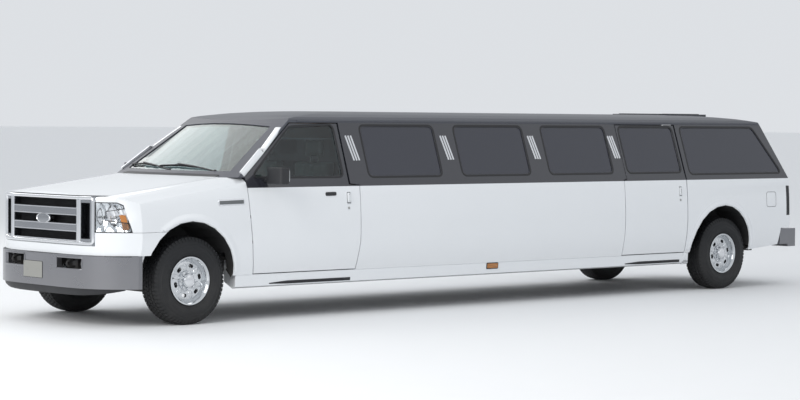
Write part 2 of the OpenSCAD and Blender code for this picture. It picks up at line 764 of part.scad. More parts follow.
// ---- Interior ----
module dashboard() {
    color([0.25, 0.25, 0.27]) difference() {
        along_y(-780, 780) polygon(to_x([
            [bulkhead_s + 28, 980], [bulkhead_s + 28, 1200], [500, 1230], [560, 1290],
            [820, 1280], [860, 1200], [800, 1040], [700, 940]
        ]));
        at_steering_wheel() steering_column(pin_clearance);
    }
}
wheel_x = 1050;
module at_steering_wheel() { translate([station(wheel_x), 390, 1150]) rotate([0, -62, 0]) children(); }
module steering_column(clear = 0) { translate([0, 0, -270]) cylinder(h = 270, r = 24 + clear, $fn = 32); }
module steering_wheel() {
    color([0.2, 0.2, 0.2]) at_steering_wheel() {
        rotate_extrude($fn = 64) translate([180, 0]) circle(r = 14, $fn = 24);
        for (a = [0, 120, 240]) rotate([0, 0, a]) translate([0, -15, -8]) cube([180, 30, 16]);
        cylinder(h = 24, r = 55, center = true, $fn = 40);
        steering_column();
    }
}
seat_w = 520;
module seat_cushion(s0, s1, y, w, low, high) {
    along_y(y - w / 2, y + w / 2) polygon(to_x(rounded([[s0, low], [s0, high], [s1, high], [s1, low]], 60)));
}
module seat_back(s, y, w, low, high, t, lean) {
    along_y(y - w / 2, y + w / 2)
        polygon(to_x(rounded([[s, low], [s + lean, high], [s + lean + t * 0.7, high], [s + t, low]], 30)));
}
module front_seats() {
    color([0.42, 0.45, 0.45]) for (y = [-390, 390]) {
        block(station(1850), station(1380), y - 200, y + 200, floor_z + floor_t, 780);
        seat_cushion(1320, 1960, y, seat_w, 780, 940);
        seat_back(1830, y, seat_w, 940, 1500, 150, 90);
        seat_back(1932, y, 260, 1500, 1690, 90, 10);
    }
}
partition_s = front_door_end + 70;
module partition() {
    color([0.2, 0.2, 0.22]) difference() {
        intersection() {
            cabin_inside();
            block(station(partition_s + 30), station(partition_s), -wide, wide, floor_z + floor_t, rail_z);
        }
        block(station(partition_s + 60), station(partition_s - 30), -560, 560, 1300, 1680);
    }
}
module lounge_seats() {
    bench_y0 = -860;
    bench_y1 = -300;
    color([0.42, 0.45, 0.45]) {
        along_x(station(5700), station(partition_s + 380)) polygon([
            [bench_y0, floor_z + floor_t], [bench_y0, 1240], [bench_y0 + 90, 1280], [bench_y0 + 170, 1240],
            [bench_y0 + 200, 1020], [bench_y1 - 20, 1030], [bench_y1, 1000], [bench_y1, floor_z + floor_t]
        ]);
        seat_cushion(wheelbase - 420, wheelbase + 300, 0, 1240, rear_floor_z + floor_t, 1080);
        seat_back(wheelbase + 130, 0, 1240, 1080, 1600, 150, 80);
    }
}

// ---- Running gear ----
module engine() {
    color("dimgray") union() {
        block(station(330), station(-470), -300, 300, front_rail_z, 1060);
        block(station(1290), station(329), -140, 140, mid_rail_z + member_t + 2, floor_z - 3);
    }
}
kingpin_y = front_track / 2 - kingpin_in;
ball_low_z = 300;
ball_high_z = 555;
arm_t = 26;
module wishbone(y_in, half_span) {
    difference() {
        union() {
            polygon([[-38, kingpin_y], [38, kingpin_y], [half_span + 30, y_in], [-half_span - 30, y_in]]);
            translate([0, kingpin_y]) circle(r = 38, $fn = 40);
        }
        polygon([[-12, kingpin_y - 65], [12, kingpin_y - 65], [half_span - 28, y_in - 1], [28 - half_span, y_in - 1]]);
        translate([0, kingpin_y]) circle(r = 12 + pin_clearance, $fn = 32);
    }
}
module front_suspension() {
    color("dimgray") both_sides() translate([front_x, 0, 0]) {
        along_z(ball_low_z - arm_t - 2, ball_low_z - 2) wishbone(rail_in + 30, 100);
        along_z(ball_high_z + 2, ball_high_z + arm_t + 2) wishbone(rail_out, 120);
        block(-62, 62, rail_in + 105, rail_in + 165, ball_low_z - 2, ball_low_z + 18);
        translate([0, rail_in + 145, ball_low_z + 17]) cylinder(h = 300, r = 26, $fn = 40);
        block(-22, 22, rail_out, rail_in + 172, ball_low_z + 316, ball_low_z + 336);
    }
}
module knuckle_half() {
    color("gray") translate([front_x, 0, 0]) union() {
        block(-40, 40, kingpin_y - 30, kingpin_y + 20, ball_low_z, ball_high_z);
        translate([0, kingpin_y + 19, axle_z]) rotate([-90, 0, 0]) cylinder(h = 152, r = spindle_r, $fn = 48);
        translate([0, kingpin_y, ball_low_z - arm_t - 4]) cylinder(h = ball_high_z - ball_low_z + 2 * arm_t + 8,
            r = 12, $fn = 32);
        // Steering arm, to the rear
        block(-190, -30, kingpin_y - 60, kingpin_y - 20, axle_z - 60, axle_z - 35);
        translate([0, kingpin_y + 41, axle_z]) rotate([-90, 0, 0]) cylinder(h = 14, r = 130, $fn = 48);
    }
}
module knuckle_left() { knuckle_half(); }
module knuckle_right() { mirror([0, 1, 0]) knuckle_half(); }

hub_out = 58;
hand_holes = 6;
// Wheel with its axle line along +Y, outer face at +Y
module road_wheel() {
    rotate([-90, 0, 0]) difference() {
        rotate_extrude($fn = 96) polygon([
            [spindle_r + hub_clearance, -25], [70, -25], [78, 10], [110, 42], [160, 44], [rim_r - 14, 30],
            [rim_r - 12, -90], [rim_r - 6, -108], [rim_r + 4, -115], [rim_r + 17, -115], [rim_r + 17, -107],
            [rim_r + 4, -106], [rim_r, -98], [rim_r, -60], [rim_r - 6, -40], [rim_r - 6, 40], [rim_r, 60],
            [rim_r, 98], [rim_r + 4, 106], [rim_r + 17, 107], [rim_r + 17, 115], [rim_r + 4, 115],
            [rim_r - 8, 100], [rim_r - 16, 62], [165, 72], [115, 74], [86, 62], [66, 66], [62, 98], [0, 102],
            [0, hub_out + 6], [spindle_r + hub_clearance, hub_out + 6]
        ]);
        for (i = [0:hand_holes - 1]) rotate([0, 0, i * 360 / hand_holes + 14]) translate([138, 0, 0])
            for (d = [-9, 9]) translate([0, d, 20]) cylinder(h = 80, r = 17, $fn = 32);
    }
}
module tyre() {
    bore = rim_r + 0.4;
    half = tyre_w / 2;
    rotate([-90, 0, 0]) rotate_extrude($fn = 96) polygon(concat(
        [[bore, -96], [bore + 14, -97], [bore + 22, -104]],
        [for (a = steps(-60, 60, 4)) [bore + 82 + 70 * sin(a), -half + 30 * (1 - cos(a))]],
        [[tyre_r - 9, -half + 26], [tyre_r, -half + 44], [tyre_r, half - 44], [tyre_r - 9, half - 26]],
        [for (a = steps(60, -60, 4)) [bore + 82 + 70 * sin(a), half - 30 * (1 - cos(a))]],
        [[bore + 22, 104], [bore + 14, 97], [bore, 96]]
    ));
}
module at_front_wheel() { translate([front_x, front_track / 2, axle_z]) children(); }
module at_rear_wheel() { translate([front_x - wheelbase, rear_track / 2, axle_z]) children(); }
module wheel_front_left() { color("silver") at_front_wheel() road_wheel(); }
module wheel_front_right() { color("silver") mirror([0, 1, 0]) at_front_wheel() road_wheel(); }
module wheel_rear_left() { color("silver") at_rear_wheel() road_wheel(); }
module wheel_rear_right() { color("silver") mirror([0, 1, 0]) at_rear_wheel() road_wheel(); }
module tyre_front_left() { color([0.1, 0.1, 0.11]) at_front_wheel() tyre(); }
module tyre_front_right() { color([0.1, 0.1, 0.11]) mirror([0, 1, 0]) at_front_wheel() tyre(); }
module tyre_rear_left() { color([0.1, 0.1, 0.11]) at_rear_wheel() tyre(); }
module tyre_rear_right() { color([0.1, 0.1, 0.11]) mirror([0, 1, 0]) at_rear_wheel() tyre(); }

spring_y = rail_in - 2;
spring_w = 62;
pinion_z = 490;
module rear_axle() {
    face = rear_track / 2 - 27;
    color("dimgray") translate([front_x - wheelbase, 0, 0]) union() {
        translate([0, -face + 70, axle_z]) rotate([-90, 0, 0]) cylinder(h = 2 * face - 140, r = 42, $fn = 48);
        translate([0, 0, axle_z + 10]) sphere(r = 140, $fn = 48);
        translate([100, 0, pinion_z]) rotate([0, 90, 0]) cylinder(h = 200, r = 46, $fn = 40);
        both_sides() {
            translate([0, face - 71, axle_z]) rotate([-90, 0, 0]) cylinder(h = 66, r = 150, $fn = 48);
            translate([0, face - 10, axle_z]) rotate([-90, 0, 0])
                cylinder(h = hub_out + 32, r = spindle_r, $fn = 48);
            block(-60, 60, spring_y, spring_y + spring_w, axle_z, 462);
        }
    }
}
module leaf_springs() {
    color([0.2, 0.2, 0.2]) both_sides() translate([front_x - wheelbase, 0, 0]) union() {
        along_y(spring_y, spring_y + spring_w) polygon(concat(
            [for (x = steps(60, 560, 5)) [x, 462 + 60 * pow((x - 60) / 500, 2)]],
            [for (x = steps(560, 60, 5)) [x, 500 + 36 * pow((x - 60) / 500, 2)]],
            [for (x = steps(-60, -780, 5)) [x, 500 + 8 * pow((x + 60) / 720, 2)]],
            [for (x = steps(-780, -60, 5)) [x, 462 + 32 * pow((x + 60) / 720, 2)]]
        ));
        block(520, 565, spring_y, spring_y + spring_w, 525, rear_rail_z);
        block(-800, -755, spring_y, spring_y + spring_w, 490, 510);
    }
}
module driveshaft() {
    color("gray") along_x(station(wheelbase - 300), station(1290)) translate([0, pinion_z + 15])
        circle(r = 36, $fn = 32);
}
exhaust_y = -300;
module exhaust() {
    pipe_r = 30;
    pipe_z = 362;
    muffler_s = (member_stations[3] + member_stations[4]) / 2;
    end_s = rear_floor_s - 420;
    color([0.4, 0.4, 0.42]) union() {
        along_x(station(end_s), station(900)) translate([exhaust_y, pipe_z]) circle(r = pipe_r, $fn = 32);
        along_x(station(muffler_s + 350), station(muffler_s - 350)) translate([exhaust_y, pipe_z])
            circle(r = 80, $fn = 40);
        translate([station(end_s), exhaust_y, pipe_z]) sphere(r = pipe_r, $fn = 32);
        translate([station(end_s), exhaust_y, pipe_z]) rotate([90, 0, 0])
            cylinder(h = 430, r = pipe_r, $fn = 32);
        for (s = [member_stations[0], member_stations[2], member_stations[4]])
            block(station(s + 15), station(s - 15), exhaust_y - 12, exhaust_y + 12, pipe_z, mid_rail_z);
    }
}
module fuel_tank() {
    color([0.1, 0.1, 0.1])
        block(station(member_stations[3] + 30), station(member_stations[2] - 30), 60, 400, 265, mid_rail_z);
}

// ---- Doors ----
module door_panel(pts, glass, hinge_s) {
    difference() {
        intersection() {
            side_wall(500, wheelbase);
            along_y(0, wide) polygon(pts);
        }
        through_side() polygon(glass);
        at_side_hinges(hinge_s) hinge_notch(hinge_h, 130, 200);
    }
}
module front_door_left() { color("white") door_panel(front_door(gap), front_glass_pts, front_hinge_s); }
module front_door_right() { mirror([0, 1, 0]) front_door_left(); }
module rear_door_left() { color("white") door_panel(rear_door(gap), rear_glass_pts, rear_hinge_s); }
module rear_door_right() { mirror([0, 1, 0]) rear_door_left(); }
module front_glass_left() { color([0.5, 0.6, 0.6, 0.5]) glass_sheet(front_glass_pts); }
module front_glass_right() { mirror([0, 1, 0]) front_glass_left(); }
module rear_glass_left() { color([0.15, 0.16, 0.2]) glass_sheet(rear_glass_pts); }
module rear_glass_right() { mirror([0, 1, 0]) rear_glass_left(); }
mirror_in = half_w + 19;
mirror_out = mirror_in + 215;
module mirror_left() {
    color("black") union() {
        along_z(1275, 1430) polygon(rounded([
            [station(835), mirror_in], [station(850), mirror_out - 5],
            [station(955), mirror_out], [station(965), mirror_in]
        ], 30));
        block(station(925), station(865), skin_y(1290), mirror_in + 5, 1290, 1320);
    }
}
module mirror_right() { mirror([0, 1, 0]) mirror_left(); }

function gate_outline_pts(e) = [
    [-door_half + e, e], [door_half - e, e], [705 - e, gate_top - e], [-705 + e, gate_top - e]
];
gate_glass_pts = rounded([[-800, 75], [800, 75], [640, gate_top - 85], [-640, gate_top - 85]], 60);
module liftgate() {
    color([0.2, 0.2, 0.24]) difference() {
        intersection() {
            on_gate() along_x(0, top_wall) polygon(gate_outline_pts(0));
            on_gate() along_x(-100, 200) polygon(gate_outline_pts(gap));
            block(-far, far, -wide, wide, gate_low_z + 4, 2500);
        }
        on_gate() along_x(-100, 200) polygon(gate_glass_pts);
        at_gate_hinges() hinge_notch(hinge_h, 60, 80);
    }
}
module liftgate_glass() {
    color([0.15, 0.16, 0.2]) on_gate() along_x(glass_inset, glass_inset + glass_t) polygon(gate_glass_pts);
}
module cargo_door() {
    difference() {
        block(station(body_end_s), station(body_end_s - rear_wall), gap / 2, door_half - gap, cargo_low_z,
            gate_low_z - gap + 4);
        at_cargo_hinges() hinge_notch(hinge_h, 60, 90);
    }
}
module cargo_door_left() { color("white") cargo_door(); }
module cargo_door_right() { mirror([0, 1, 0]) cargo_door_left(); }

frame_rails();
cross_members();
tow_receiver();
floor_pan();
firewall();
windshield_frame();
roof();
roof_glass();
side_panels();
quarter_panels();
front_fenders();
rocker_panels();
wheel_housings();
radiator_support();
grille();
headlights();
front_bumper();
front_valance();
rear_bumper();
tail_lights();
windshield();
side_windows();
dashboard();
steering_wheel();
front_seats();
partition();
lounge_seats();
engine();
front_suspension();
rear_axle();
leaf_springs();
driveshaft();
exhaust();
fuel_tank();
hood();
front_door_left();
front_door_right();
rear_door_left();
rear_door_right();
front_glass_left();
front_glass_right();
rear_glass_left();
rear_glass_right();
mirror_left();
mirror_right();
liftgate();
liftgate_glass();
cargo_door_left();
cargo_door_right();
knuckle_left();
knuckle_right();
wheel_front_left();
wheel_front_right();
wheel_rear_left();
wheel_rear_right();
tyre_front_left();
tyre_front_right();
tyre_rear_left();
tyre_rear_right();
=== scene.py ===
"""Looks of the stretch limousine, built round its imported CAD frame.

Lengths are in metres. +X points forward, +Y to the driver's left and +Z up. A station is a distance behind the
front axle, and side is +1 for the driver's left and -1 for the right.
"""
from __future__ import annotations

import logging
import math
from dataclasses import dataclass
from enum import Enum
from typing import Callable, Optional, Sequence, Union

import bmesh
import bpy
from mathutils import Matrix, Vector
from mathutils.bvhtree import BVHTree


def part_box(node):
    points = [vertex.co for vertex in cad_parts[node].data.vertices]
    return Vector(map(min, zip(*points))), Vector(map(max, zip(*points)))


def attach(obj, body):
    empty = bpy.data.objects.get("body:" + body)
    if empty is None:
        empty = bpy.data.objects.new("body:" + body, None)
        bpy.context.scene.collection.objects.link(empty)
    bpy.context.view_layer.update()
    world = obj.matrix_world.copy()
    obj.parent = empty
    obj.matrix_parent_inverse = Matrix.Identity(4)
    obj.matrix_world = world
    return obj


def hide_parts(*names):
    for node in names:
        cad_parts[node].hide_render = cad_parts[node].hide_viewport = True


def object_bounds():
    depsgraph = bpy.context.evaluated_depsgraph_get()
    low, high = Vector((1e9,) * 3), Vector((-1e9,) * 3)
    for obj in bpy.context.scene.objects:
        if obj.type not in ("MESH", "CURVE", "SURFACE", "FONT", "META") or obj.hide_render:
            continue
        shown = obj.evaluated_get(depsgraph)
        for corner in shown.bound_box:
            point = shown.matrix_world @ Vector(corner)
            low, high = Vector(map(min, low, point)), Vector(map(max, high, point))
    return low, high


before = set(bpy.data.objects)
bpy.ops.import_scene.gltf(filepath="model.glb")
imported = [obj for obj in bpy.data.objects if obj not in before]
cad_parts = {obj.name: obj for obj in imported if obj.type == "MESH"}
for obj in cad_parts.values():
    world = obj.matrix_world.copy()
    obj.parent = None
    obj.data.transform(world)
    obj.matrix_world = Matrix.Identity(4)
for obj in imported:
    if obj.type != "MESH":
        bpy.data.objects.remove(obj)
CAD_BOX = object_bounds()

LOG = logging.getLogger("limousine")
SIDES = (1, -1)
SIDE_WORD = {1: "left", -1: "right"}
BODY = "body"
Points = Sequence[Sequence[float]]
Hit = tuple[Vector, Vector]
Rectangle = list[tuple[float, float]]
Colour = tuple[float, float, float]


# ---------------------------------------------------------------- finishes
class Grain(Enum):
    """Small-scale surface pattern of a finish."""

    PEEL = "orange peel of sprayed paint"
    MOULDED = "fine pebble of moulded plastic"
    LEATHER = "creased leather"
    WOVEN = "looped carpet or cloth"
    BRUSHED = "lines of brushed metal"
    CAST = "rough casting"
    WOOD = "wood figure"


COAT_ROUGHNESS = 0.04
BROAD_SCALE = 3.1
DUST: Colour = (0.40, 0.37, 0.33)
DUST_TOP = 0.62
DUST_FULL = 0.28


@dataclass(frozen=True)
class Finish:
    """One material: its colour, gloss and fine pattern."""

    name: str
    colour: Colour
    roughness: float = 0.4
    metallic: float = 0.0
    coat: float = 0.0
    grain: Grain = Grain.MOULDED
    grain_scale: float = 900.0
    grain_depth: float = 0.08
    gloss_spread: float = 0.06
    colour_spread: float = 0.06
    through: float = 0.0
    sheen: float = 0.0
    upper: Optional[Colour] = None
    upper_from: float = 1.24
    dust: float = 0.0

    def material(self) -> bpy.types.Material:
        """Return the finish's material, made on first use."""
        found = bpy.data.materials.get(self.name)
        if found:
            return found
        made = bpy.data.materials.new(self.name)
        made.use_nodes = True
        self._dress(made)
        made.diffuse_color = (*self.colour, 1.0)
        return made

    def _dress(self, made: bpy.types.Material) -> None:
        """Fill in the node tree.

        Args:
            made: The new material.
        """
        tree = made.node_tree
        shader = tree.nodes["Principled BSDF"]
        for socket, value in (("Base Color", (*self.colour, 1.0)), ("Roughness", self.roughness),
                              ("Metallic", self.metallic), ("Coat Weight", self.coat),
                              ("Coat Roughness", COAT_ROUGHNESS), ("Transmission Weight", self.through),
                              ("Sheen Weight", self.sheen)):
            shader.inputs[socket].default_value = value
        place = tree.nodes.new("ShaderNodeTexCoord").outputs["Object"]
        broad = self._noise(tree, place, BROAD_SCALE, 4.0)
        if self.gloss_spread:
            spread = tree.nodes.new("ShaderNodeMapRange")
            spread.interpolation_type = "SMOOTHSTEP"
            for socket, value in (("From Min", 0.2), ("From Max", 0.8),
                                  ("To Min", max(0.0, self.roughness - self.gloss_spread)),
                                  ("To Max", min(1.0, self.roughness + self.gloss_spread))):
                spread.inputs[socket].default_value = value
            tree.links.new(broad, spread.inputs["Value"])
            tree.links.new(spread.outputs["Result"], shader.inputs["Roughness"])
        self._paint(tree, shader, place, broad)
        if self.grain_depth:
            bump = tree.nodes.new("ShaderNodeBump")
            bump.inputs["Strength"].default_value = self.grain_depth
            bump.inputs["Distance"].default_value = 0.6 / self.grain_scale
            tree.links.new(self._grain(tree, place), bump.inputs["Height"])
            tree.links.new(bump.outputs["Normal"], shader.inputs["Normal"])

    @staticmethod
    def _noise(tree: bpy.types.NodeTree, place: bpy.types.NodeSocket, scale: float,
               detail: float) -> bpy.types.NodeSocket:
        """Return the value of a new noise.

        Args:
            tree: Material tree.
            place: Coordinates it reads.
            scale: Repeats per metre.
            detail: Octaves.
        """
        noise = tree.nodes.new("ShaderNodeTexNoise")
        noise.inputs["Scale"].default_value = scale
        noise.inputs["Detail"].default_value = detail
        tree.links.new(place, noise.inputs["Vector"])
        return noise.outputs["Fac"]

    def _grain(self, tree: bpy.types.NodeTree, place: bpy.types.NodeSocket) -> bpy.types.NodeSocket:
        """Return the height of the fine pattern.

        Args:
            tree: Material tree.
            place: Coordinates it reads.
        """
        if self.grain in (Grain.LEATHER, Grain.CAST, Grain.WOVEN):
            cells = tree.nodes.new("ShaderNodeTexVoronoi")
            cells.inputs["Scale"].default_value = self.grain_scale
            if self.grain is Grain.LEATHER:
                cells.feature = "DISTANCE_TO_EDGE"
            tree.links.new(place, cells.inputs["Vector"])
            return cells.outputs["Distance"]
        if self.grain in (Grain.BRUSHED, Grain.WOOD):
            stretch = tree.nodes.new("ShaderNodeMapping")
            stretch.inputs["Scale"].default_value = (0.04, 1.0, 1.0)
            tree.links.new(place, stretch.inputs["Vector"])
            return self._noise(tree, stretch.outputs["Vector"], self.grain_scale, 3.0)
        return self._noise(tree, place, self.grain_scale, 2.0)

    def _paint(self, tree: bpy.types.NodeTree, shader: bpy.types.Node, place: bpy.types.NodeSocket,
               broad: bpy.types.NodeSocket) -> None:
        """Link the colour where it varies.

        Args:
            tree: Material tree.
            shader: Its principled shader.
            place: Object coordinates.
            broad: Slow noise.
        """
        if not (self.colour_spread or self.upper or self.dust):
            return
        colour = self._mixed(tree, broad, _scaled(self.colour, 1 - self.colour_spread),
                             _scaled(self.colour, 1 + self.colour_spread / 2))
        if self.upper or self.dust:
            split = tree.nodes.new("ShaderNodeSeparateXYZ")
            tree.links.new(place, split.inputs["Vector"])
        if self.upper:
            edge = self._step(tree, split.outputs["Z"], self.upper_from - 0.0006, self.upper_from + 0.0006)
            dark = self._mixed(tree, broad, _scaled(self.upper, 0.93), _scaled(self.upper, 1.05))
            colour = self._mixed(tree, edge, colour, dark)
        if self.dust:
            low = self._step(tree, split.outputs["Z"], DUST_TOP, DUST_FULL)
            speck = self._noise(tree, place, 14.0, 6.0)
            thin = self._product(tree, self._product(tree, low, speck), self.dust)
            colour = self._mixed(tree, thin, colour, DUST)
        tree.links.new(colour, shader.inputs["Base Color"])

    @staticmethod
    def _product(tree: bpy.types.NodeTree, a: bpy.types.NodeSocket,
                 b: Union[bpy.types.NodeSocket, float]) -> bpy.types.NodeSocket:
        """Return a socket times a socket or a number."""
        times = tree.nodes.new("ShaderNodeMath")
        times.operation = "MULTIPLY"
        tree.links.new(a, times.inputs[0])
        if isinstance(b, float):
            times.inputs[1].default_value = b
        else:
            tree.links.new(b, times.inputs[1])
        return times.outputs[0]

    @staticmethod
    def _mixed(tree: bpy.types.NodeTree, factor: bpy.types.NodeSocket, low: object,
               high: object) -> bpy.types.NodeSocket:
        """Return a blend of two colours, each a value or a socket.

        Args:
            tree: Material tree.
            factor: Share of the second.
            low: First colour.
            high: Second colour.
        """
        mix = tree.nodes.new("ShaderNodeMix")
        mix.data_type = "RGBA"
        tree.links.new(factor, mix.inputs["Factor"])
        for socket, value in ((mix.inputs[6], low), (mix.inputs[7], high)):
            if isinstance(value, tuple):
                socket.default_value = (*value, 1.0)
            else:
                tree.links.new(value, socket)
        return mix.outputs[2]

    @staticmethod
    def _step(tree: bpy.types.NodeTree, value: bpy.types.NodeSocket, start: float,
              end: float) -> bpy.types.NodeSocket:
        """Return 0 before start, 1 past end and a ramp between.

        Args:
            tree: Material tree.
            value: What is compared.
            start: Where the ramp starts.
            end: Where it ends.
        """
        ramp = tree.nodes.new("ShaderNodeMapRange")
        ramp.inputs["From Min"].default_value = start
        ramp.inputs["From Max"].default_value = end
        tree.links.new(value, ramp.inputs["Value"])
        return ramp.outputs["Result"]


def _scaled(colour: Colour, factor: float) -> Colour:
    """Return a colour made lighter or darker."""
    return tuple(min(1.0, c * factor) for c in colour)


CHARCOAL = (0.024, 0.025, 0.033)
WHITE = (0.80, 0.82, 0.84)


class Finishes:
    """Every finish on the car."""

    BODY_PAINT = Finish("white_over_charcoal_paint", WHITE, 0.24, coat=0.85, grain=Grain.PEEL, grain_scale=420,
                        grain_depth=0.012, gloss_spread=0.02, colour_spread=0.015,
                        upper=CHARCOAL, dust=0.10)
    WHITE_PAINT = Finish("white_paint", WHITE, 0.24, coat=0.85, grain=Grain.PEEL, grain_scale=420,
                         grain_depth=0.012, gloss_spread=0.02, colour_spread=0.015,
                         dust=0.10)
    ROOF_PAINT = Finish("charcoal_paint", CHARCOAL, 0.36, coat=0.3, grain=Grain.PEEL, grain_scale=420,
                        grain_depth=0.03, colour_spread=0.08)
    CHROME = Finish("chrome", (0.60, 0.61, 0.63), 0.07, 1.0, grain=Grain.PEEL, grain_scale=160, grain_depth=0.015,
                    gloss_spread=0.03, colour_spread=0.03)
    SATIN_CHROME = Finish("satin_chrome", (0.33, 0.34, 0.36), 0.20, 1.0, grain=Grain.BRUSHED, grain_scale=1500,
                          grain_depth=0.05, colour_spread=0.05)
    ALLOY = Finish("polished_alloy", (0.50, 0.51, 0.53), 0.14, 1.0, grain=Grain.PEEL, grain_scale=300,
                   grain_depth=0.03, gloss_spread=0.06, colour_spread=0.10)
    BUMPER_METAL = Finish("bumper_grey", (0.22, 0.222, 0.238), 0.30, 0.75, coat=0.3, grain=Grain.PEEL,
                          grain_scale=300, grain_depth=0.03, colour_spread=0.08, dust=0.12)
    BLACK_PLASTIC = Finish("black_plastic", (0.018, 0.019, 0.022), 0.48, grain_scale=1400, grain_depth=0.18,
                           colour_spread=0.2)
    GREY_PLASTIC = Finish("grey_trim_plastic", (0.13, 0.14, 0.145), 0.52, grain_scale=1300, grain_depth=0.2,
                          colour_spread=0.1)
    UNDER_BLACK = Finish("underbody_black", (0.012, 0.012, 0.013), 0.75, grain=Grain.CAST, grain_scale=260,
                         grain_depth=0.25, colour_spread=0.3, dust=0.25)
    RUBBER = Finish("tyre_rubber", (0.007, 0.008, 0.010), 0.68, grain_scale=700, grain_depth=0.22,
                    colour_spread=0.25, dust=0.05)
    SEAL = Finish("seal_rubber", (0.012, 0.012, 0.014), 0.5, grain_scale=900, grain_depth=0.1, colour_spread=0.1)
    CLEAR_GLASS = Finish("windshield_glass", (0.50, 0.62, 0.61), 0.02, through=1.0, grain_depth=0.0,
                         gloss_spread=0.01, colour_spread=0.0)
    FRONT_GLASS = Finish("front_door_glass", (0.34, 0.40, 0.41), 0.02, through=1.0, grain_depth=0.0,
                         gloss_spread=0.01, colour_spread=0.0)
    DARK_GLASS = Finish("privacy_glass", (0.036, 0.039, 0.056), 0.06, through=0.25, coat=0.4, grain_depth=0.0,
                        gloss_spread=0.02, colour_spread=0.04)
    LAMP_GLASS = Finish("lamp_lens", (0.93, 0.95, 0.96), 0.02, through=1.0, grain_depth=0.0, gloss_spread=0.01,
                        colour_spread=0.0)
    AMBER = Finish("amber_lens", (0.62, 0.24, 0.05), 0.14, through=0.30, coat=0.5, grain_scale=260,
                   grain_depth=0.3)
    RED_LENS = Finish("red_lens", (0.30, 0.012, 0.012), 0.14, through=0.2, coat=0.7, grain_scale=220,
                      grain_depth=0.3)
    PALE_LENS = Finish("pale_lens", (0.70, 0.70, 0.70), 0.15, through=0.3, coat=0.7, grain_scale=220,
                       grain_depth=0.3)
    LEATHER = Finish("grey_leather", (0.215, 0.245, 0.235), 0.46, grain=Grain.LEATHER, grain_scale=520,
                     grain_depth=0.25, colour_spread=0.12, sheen=0.1)
    CARPET = Finish("grey_carpet", (0.075, 0.078, 0.082), 0.95, grain=Grain.WOVEN, grain_scale=700,
                    grain_depth=0.7, colour_spread=0.3, sheen=0.2)
    HEADLINER = Finish("headliner_cloth", (0.34, 0.35, 0.35), 0.9, grain=Grain.WOVEN, grain_scale=900,
                       grain_depth=0.3, colour_spread=0.06, sheen=0.1)
    DASH = Finish("dashboard_grey", (0.085, 0.09, 0.095), 0.6, grain=Grain.LEATHER, grain_scale=700,
                  grain_depth=0.2, colour_spread=0.08)
    WOODGRAIN = Finish("burr_wood", (0.14, 0.055, 0.02), 0.22, coat=0.8, grain=Grain.WOOD, grain_scale=120,
                       grain_depth=0.05, colour_spread=0.5)
    SCREEN = Finish("display_glass", (0.01, 0.012, 0.016), 0.08, coat=0.6, grain_depth=0.0)
    MIRROR = Finish("mirror_glass", (0.82, 0.85, 0.86), 0.03, 1.0, grain_depth=0.0, gloss_spread=0.01,
                    colour_spread=0.0)
    CAST_IRON = Finish("cast_iron", (0.085, 0.083, 0.08), 0.62, 0.6, grain=Grain.CAST, grain_scale=320,
                       grain_depth=0.5, colour_spread=0.3)
    STEEL = Finish("plated_steel", (0.42, 0.42, 0.41), 0.35, 1.0, grain=Grain.BRUSHED, grain_scale=700,
                   grain_depth=0.1, colour_spread=0.2)
    FRAME_PAINT = Finish("frame_black", (0.02, 0.02, 0.021), 0.5, 0.2, grain=Grain.CAST, grain_scale=240,
                         grain_depth=0.2, colour_spread=0.3, dust=0.3)
    PLATE = Finish("blank_plate", (0.27, 0.27, 0.25), 0.4, grain_scale=300, grain_depth=0.1, colour_spread=0.05)
    FLOOR = Finish("studio_floor", (0.86, 0.87, 0.88), 0.7, grain_scale=60, grain_depth=0.02, colour_spread=0.01)


# ---------------------------------------------------------------- mesh tools
def newell(points: Sequence[Vector]) -> Vector:
    """Return the normal of a nearly flat ring of points."""
    total = Vector((0, 0, 0))
    for a, b in zip(points, list(points[1:]) + [points[0]]):
        total += Vector(((a.y - b.y) * (a.z + b.z), (a.z - b.z) * (a.x + b.x), (a.x - b.x) * (a.y + b.y)))
    return total.normalized()


def finish_mesh(name: str, work: bmesh.types.BMesh, finish: Finish, body: str, smooth: float = 35.0,
                bevel: float = 0.0, steps: int = 2, recalc: bool = True) -> bpy.types.Object:
    """Turn a bmesh into a finished piece that rides on a body.

    Args:
        name: Name of the piece.
        work: Its shape, which is freed.
        finish: Its material.
        body: CAD body it rides on.
        smooth: Edges flatter than this many degrees are smooth.
        bevel: Width of rounded edges.
        steps: Segments in each rounded edge.
        recalc: Turn all faces outwards.

    Returns:
        The new object.
    """
    if recalc:
        bmesh.ops.recalc_face_normals(work, faces=work.faces)
    mesh = bpy.data.meshes.new(name)
    work.to_mesh(mesh)
    work.free()
    piece = bpy.data.objects.new(name, mesh)
    bpy.context.scene.collection.objects.link(piece)
    mesh.materials.append(finish.material())
    mesh.polygons.foreach_set("use_smooth", [True] * len(mesh.polygons))
    mesh.set_sharp_from_angle(angle=math.radians(smooth))
    if bevel:
        round_edges = piece.modifiers.new("round_edges", "BEVEL")
        round_edges.width = bevel
        round_edges.segments = steps
        round_edges.limit_method = "ANGLE"
        round_edges.angle_limit = math.radians(max(28.0, smooth - 4))
        round_edges.miter_outer = "MITER_ARC"
        round_edges.harden_normals = False
    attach(piece, body)
    return piece


def add_ring(work: bmesh.types.BMesh, points: Sequence[Vector]) -> list[bmesh.types.BMVert]:
    """Add a row of vertices and return it."""
    return [work.verts.new(p) for p in points]


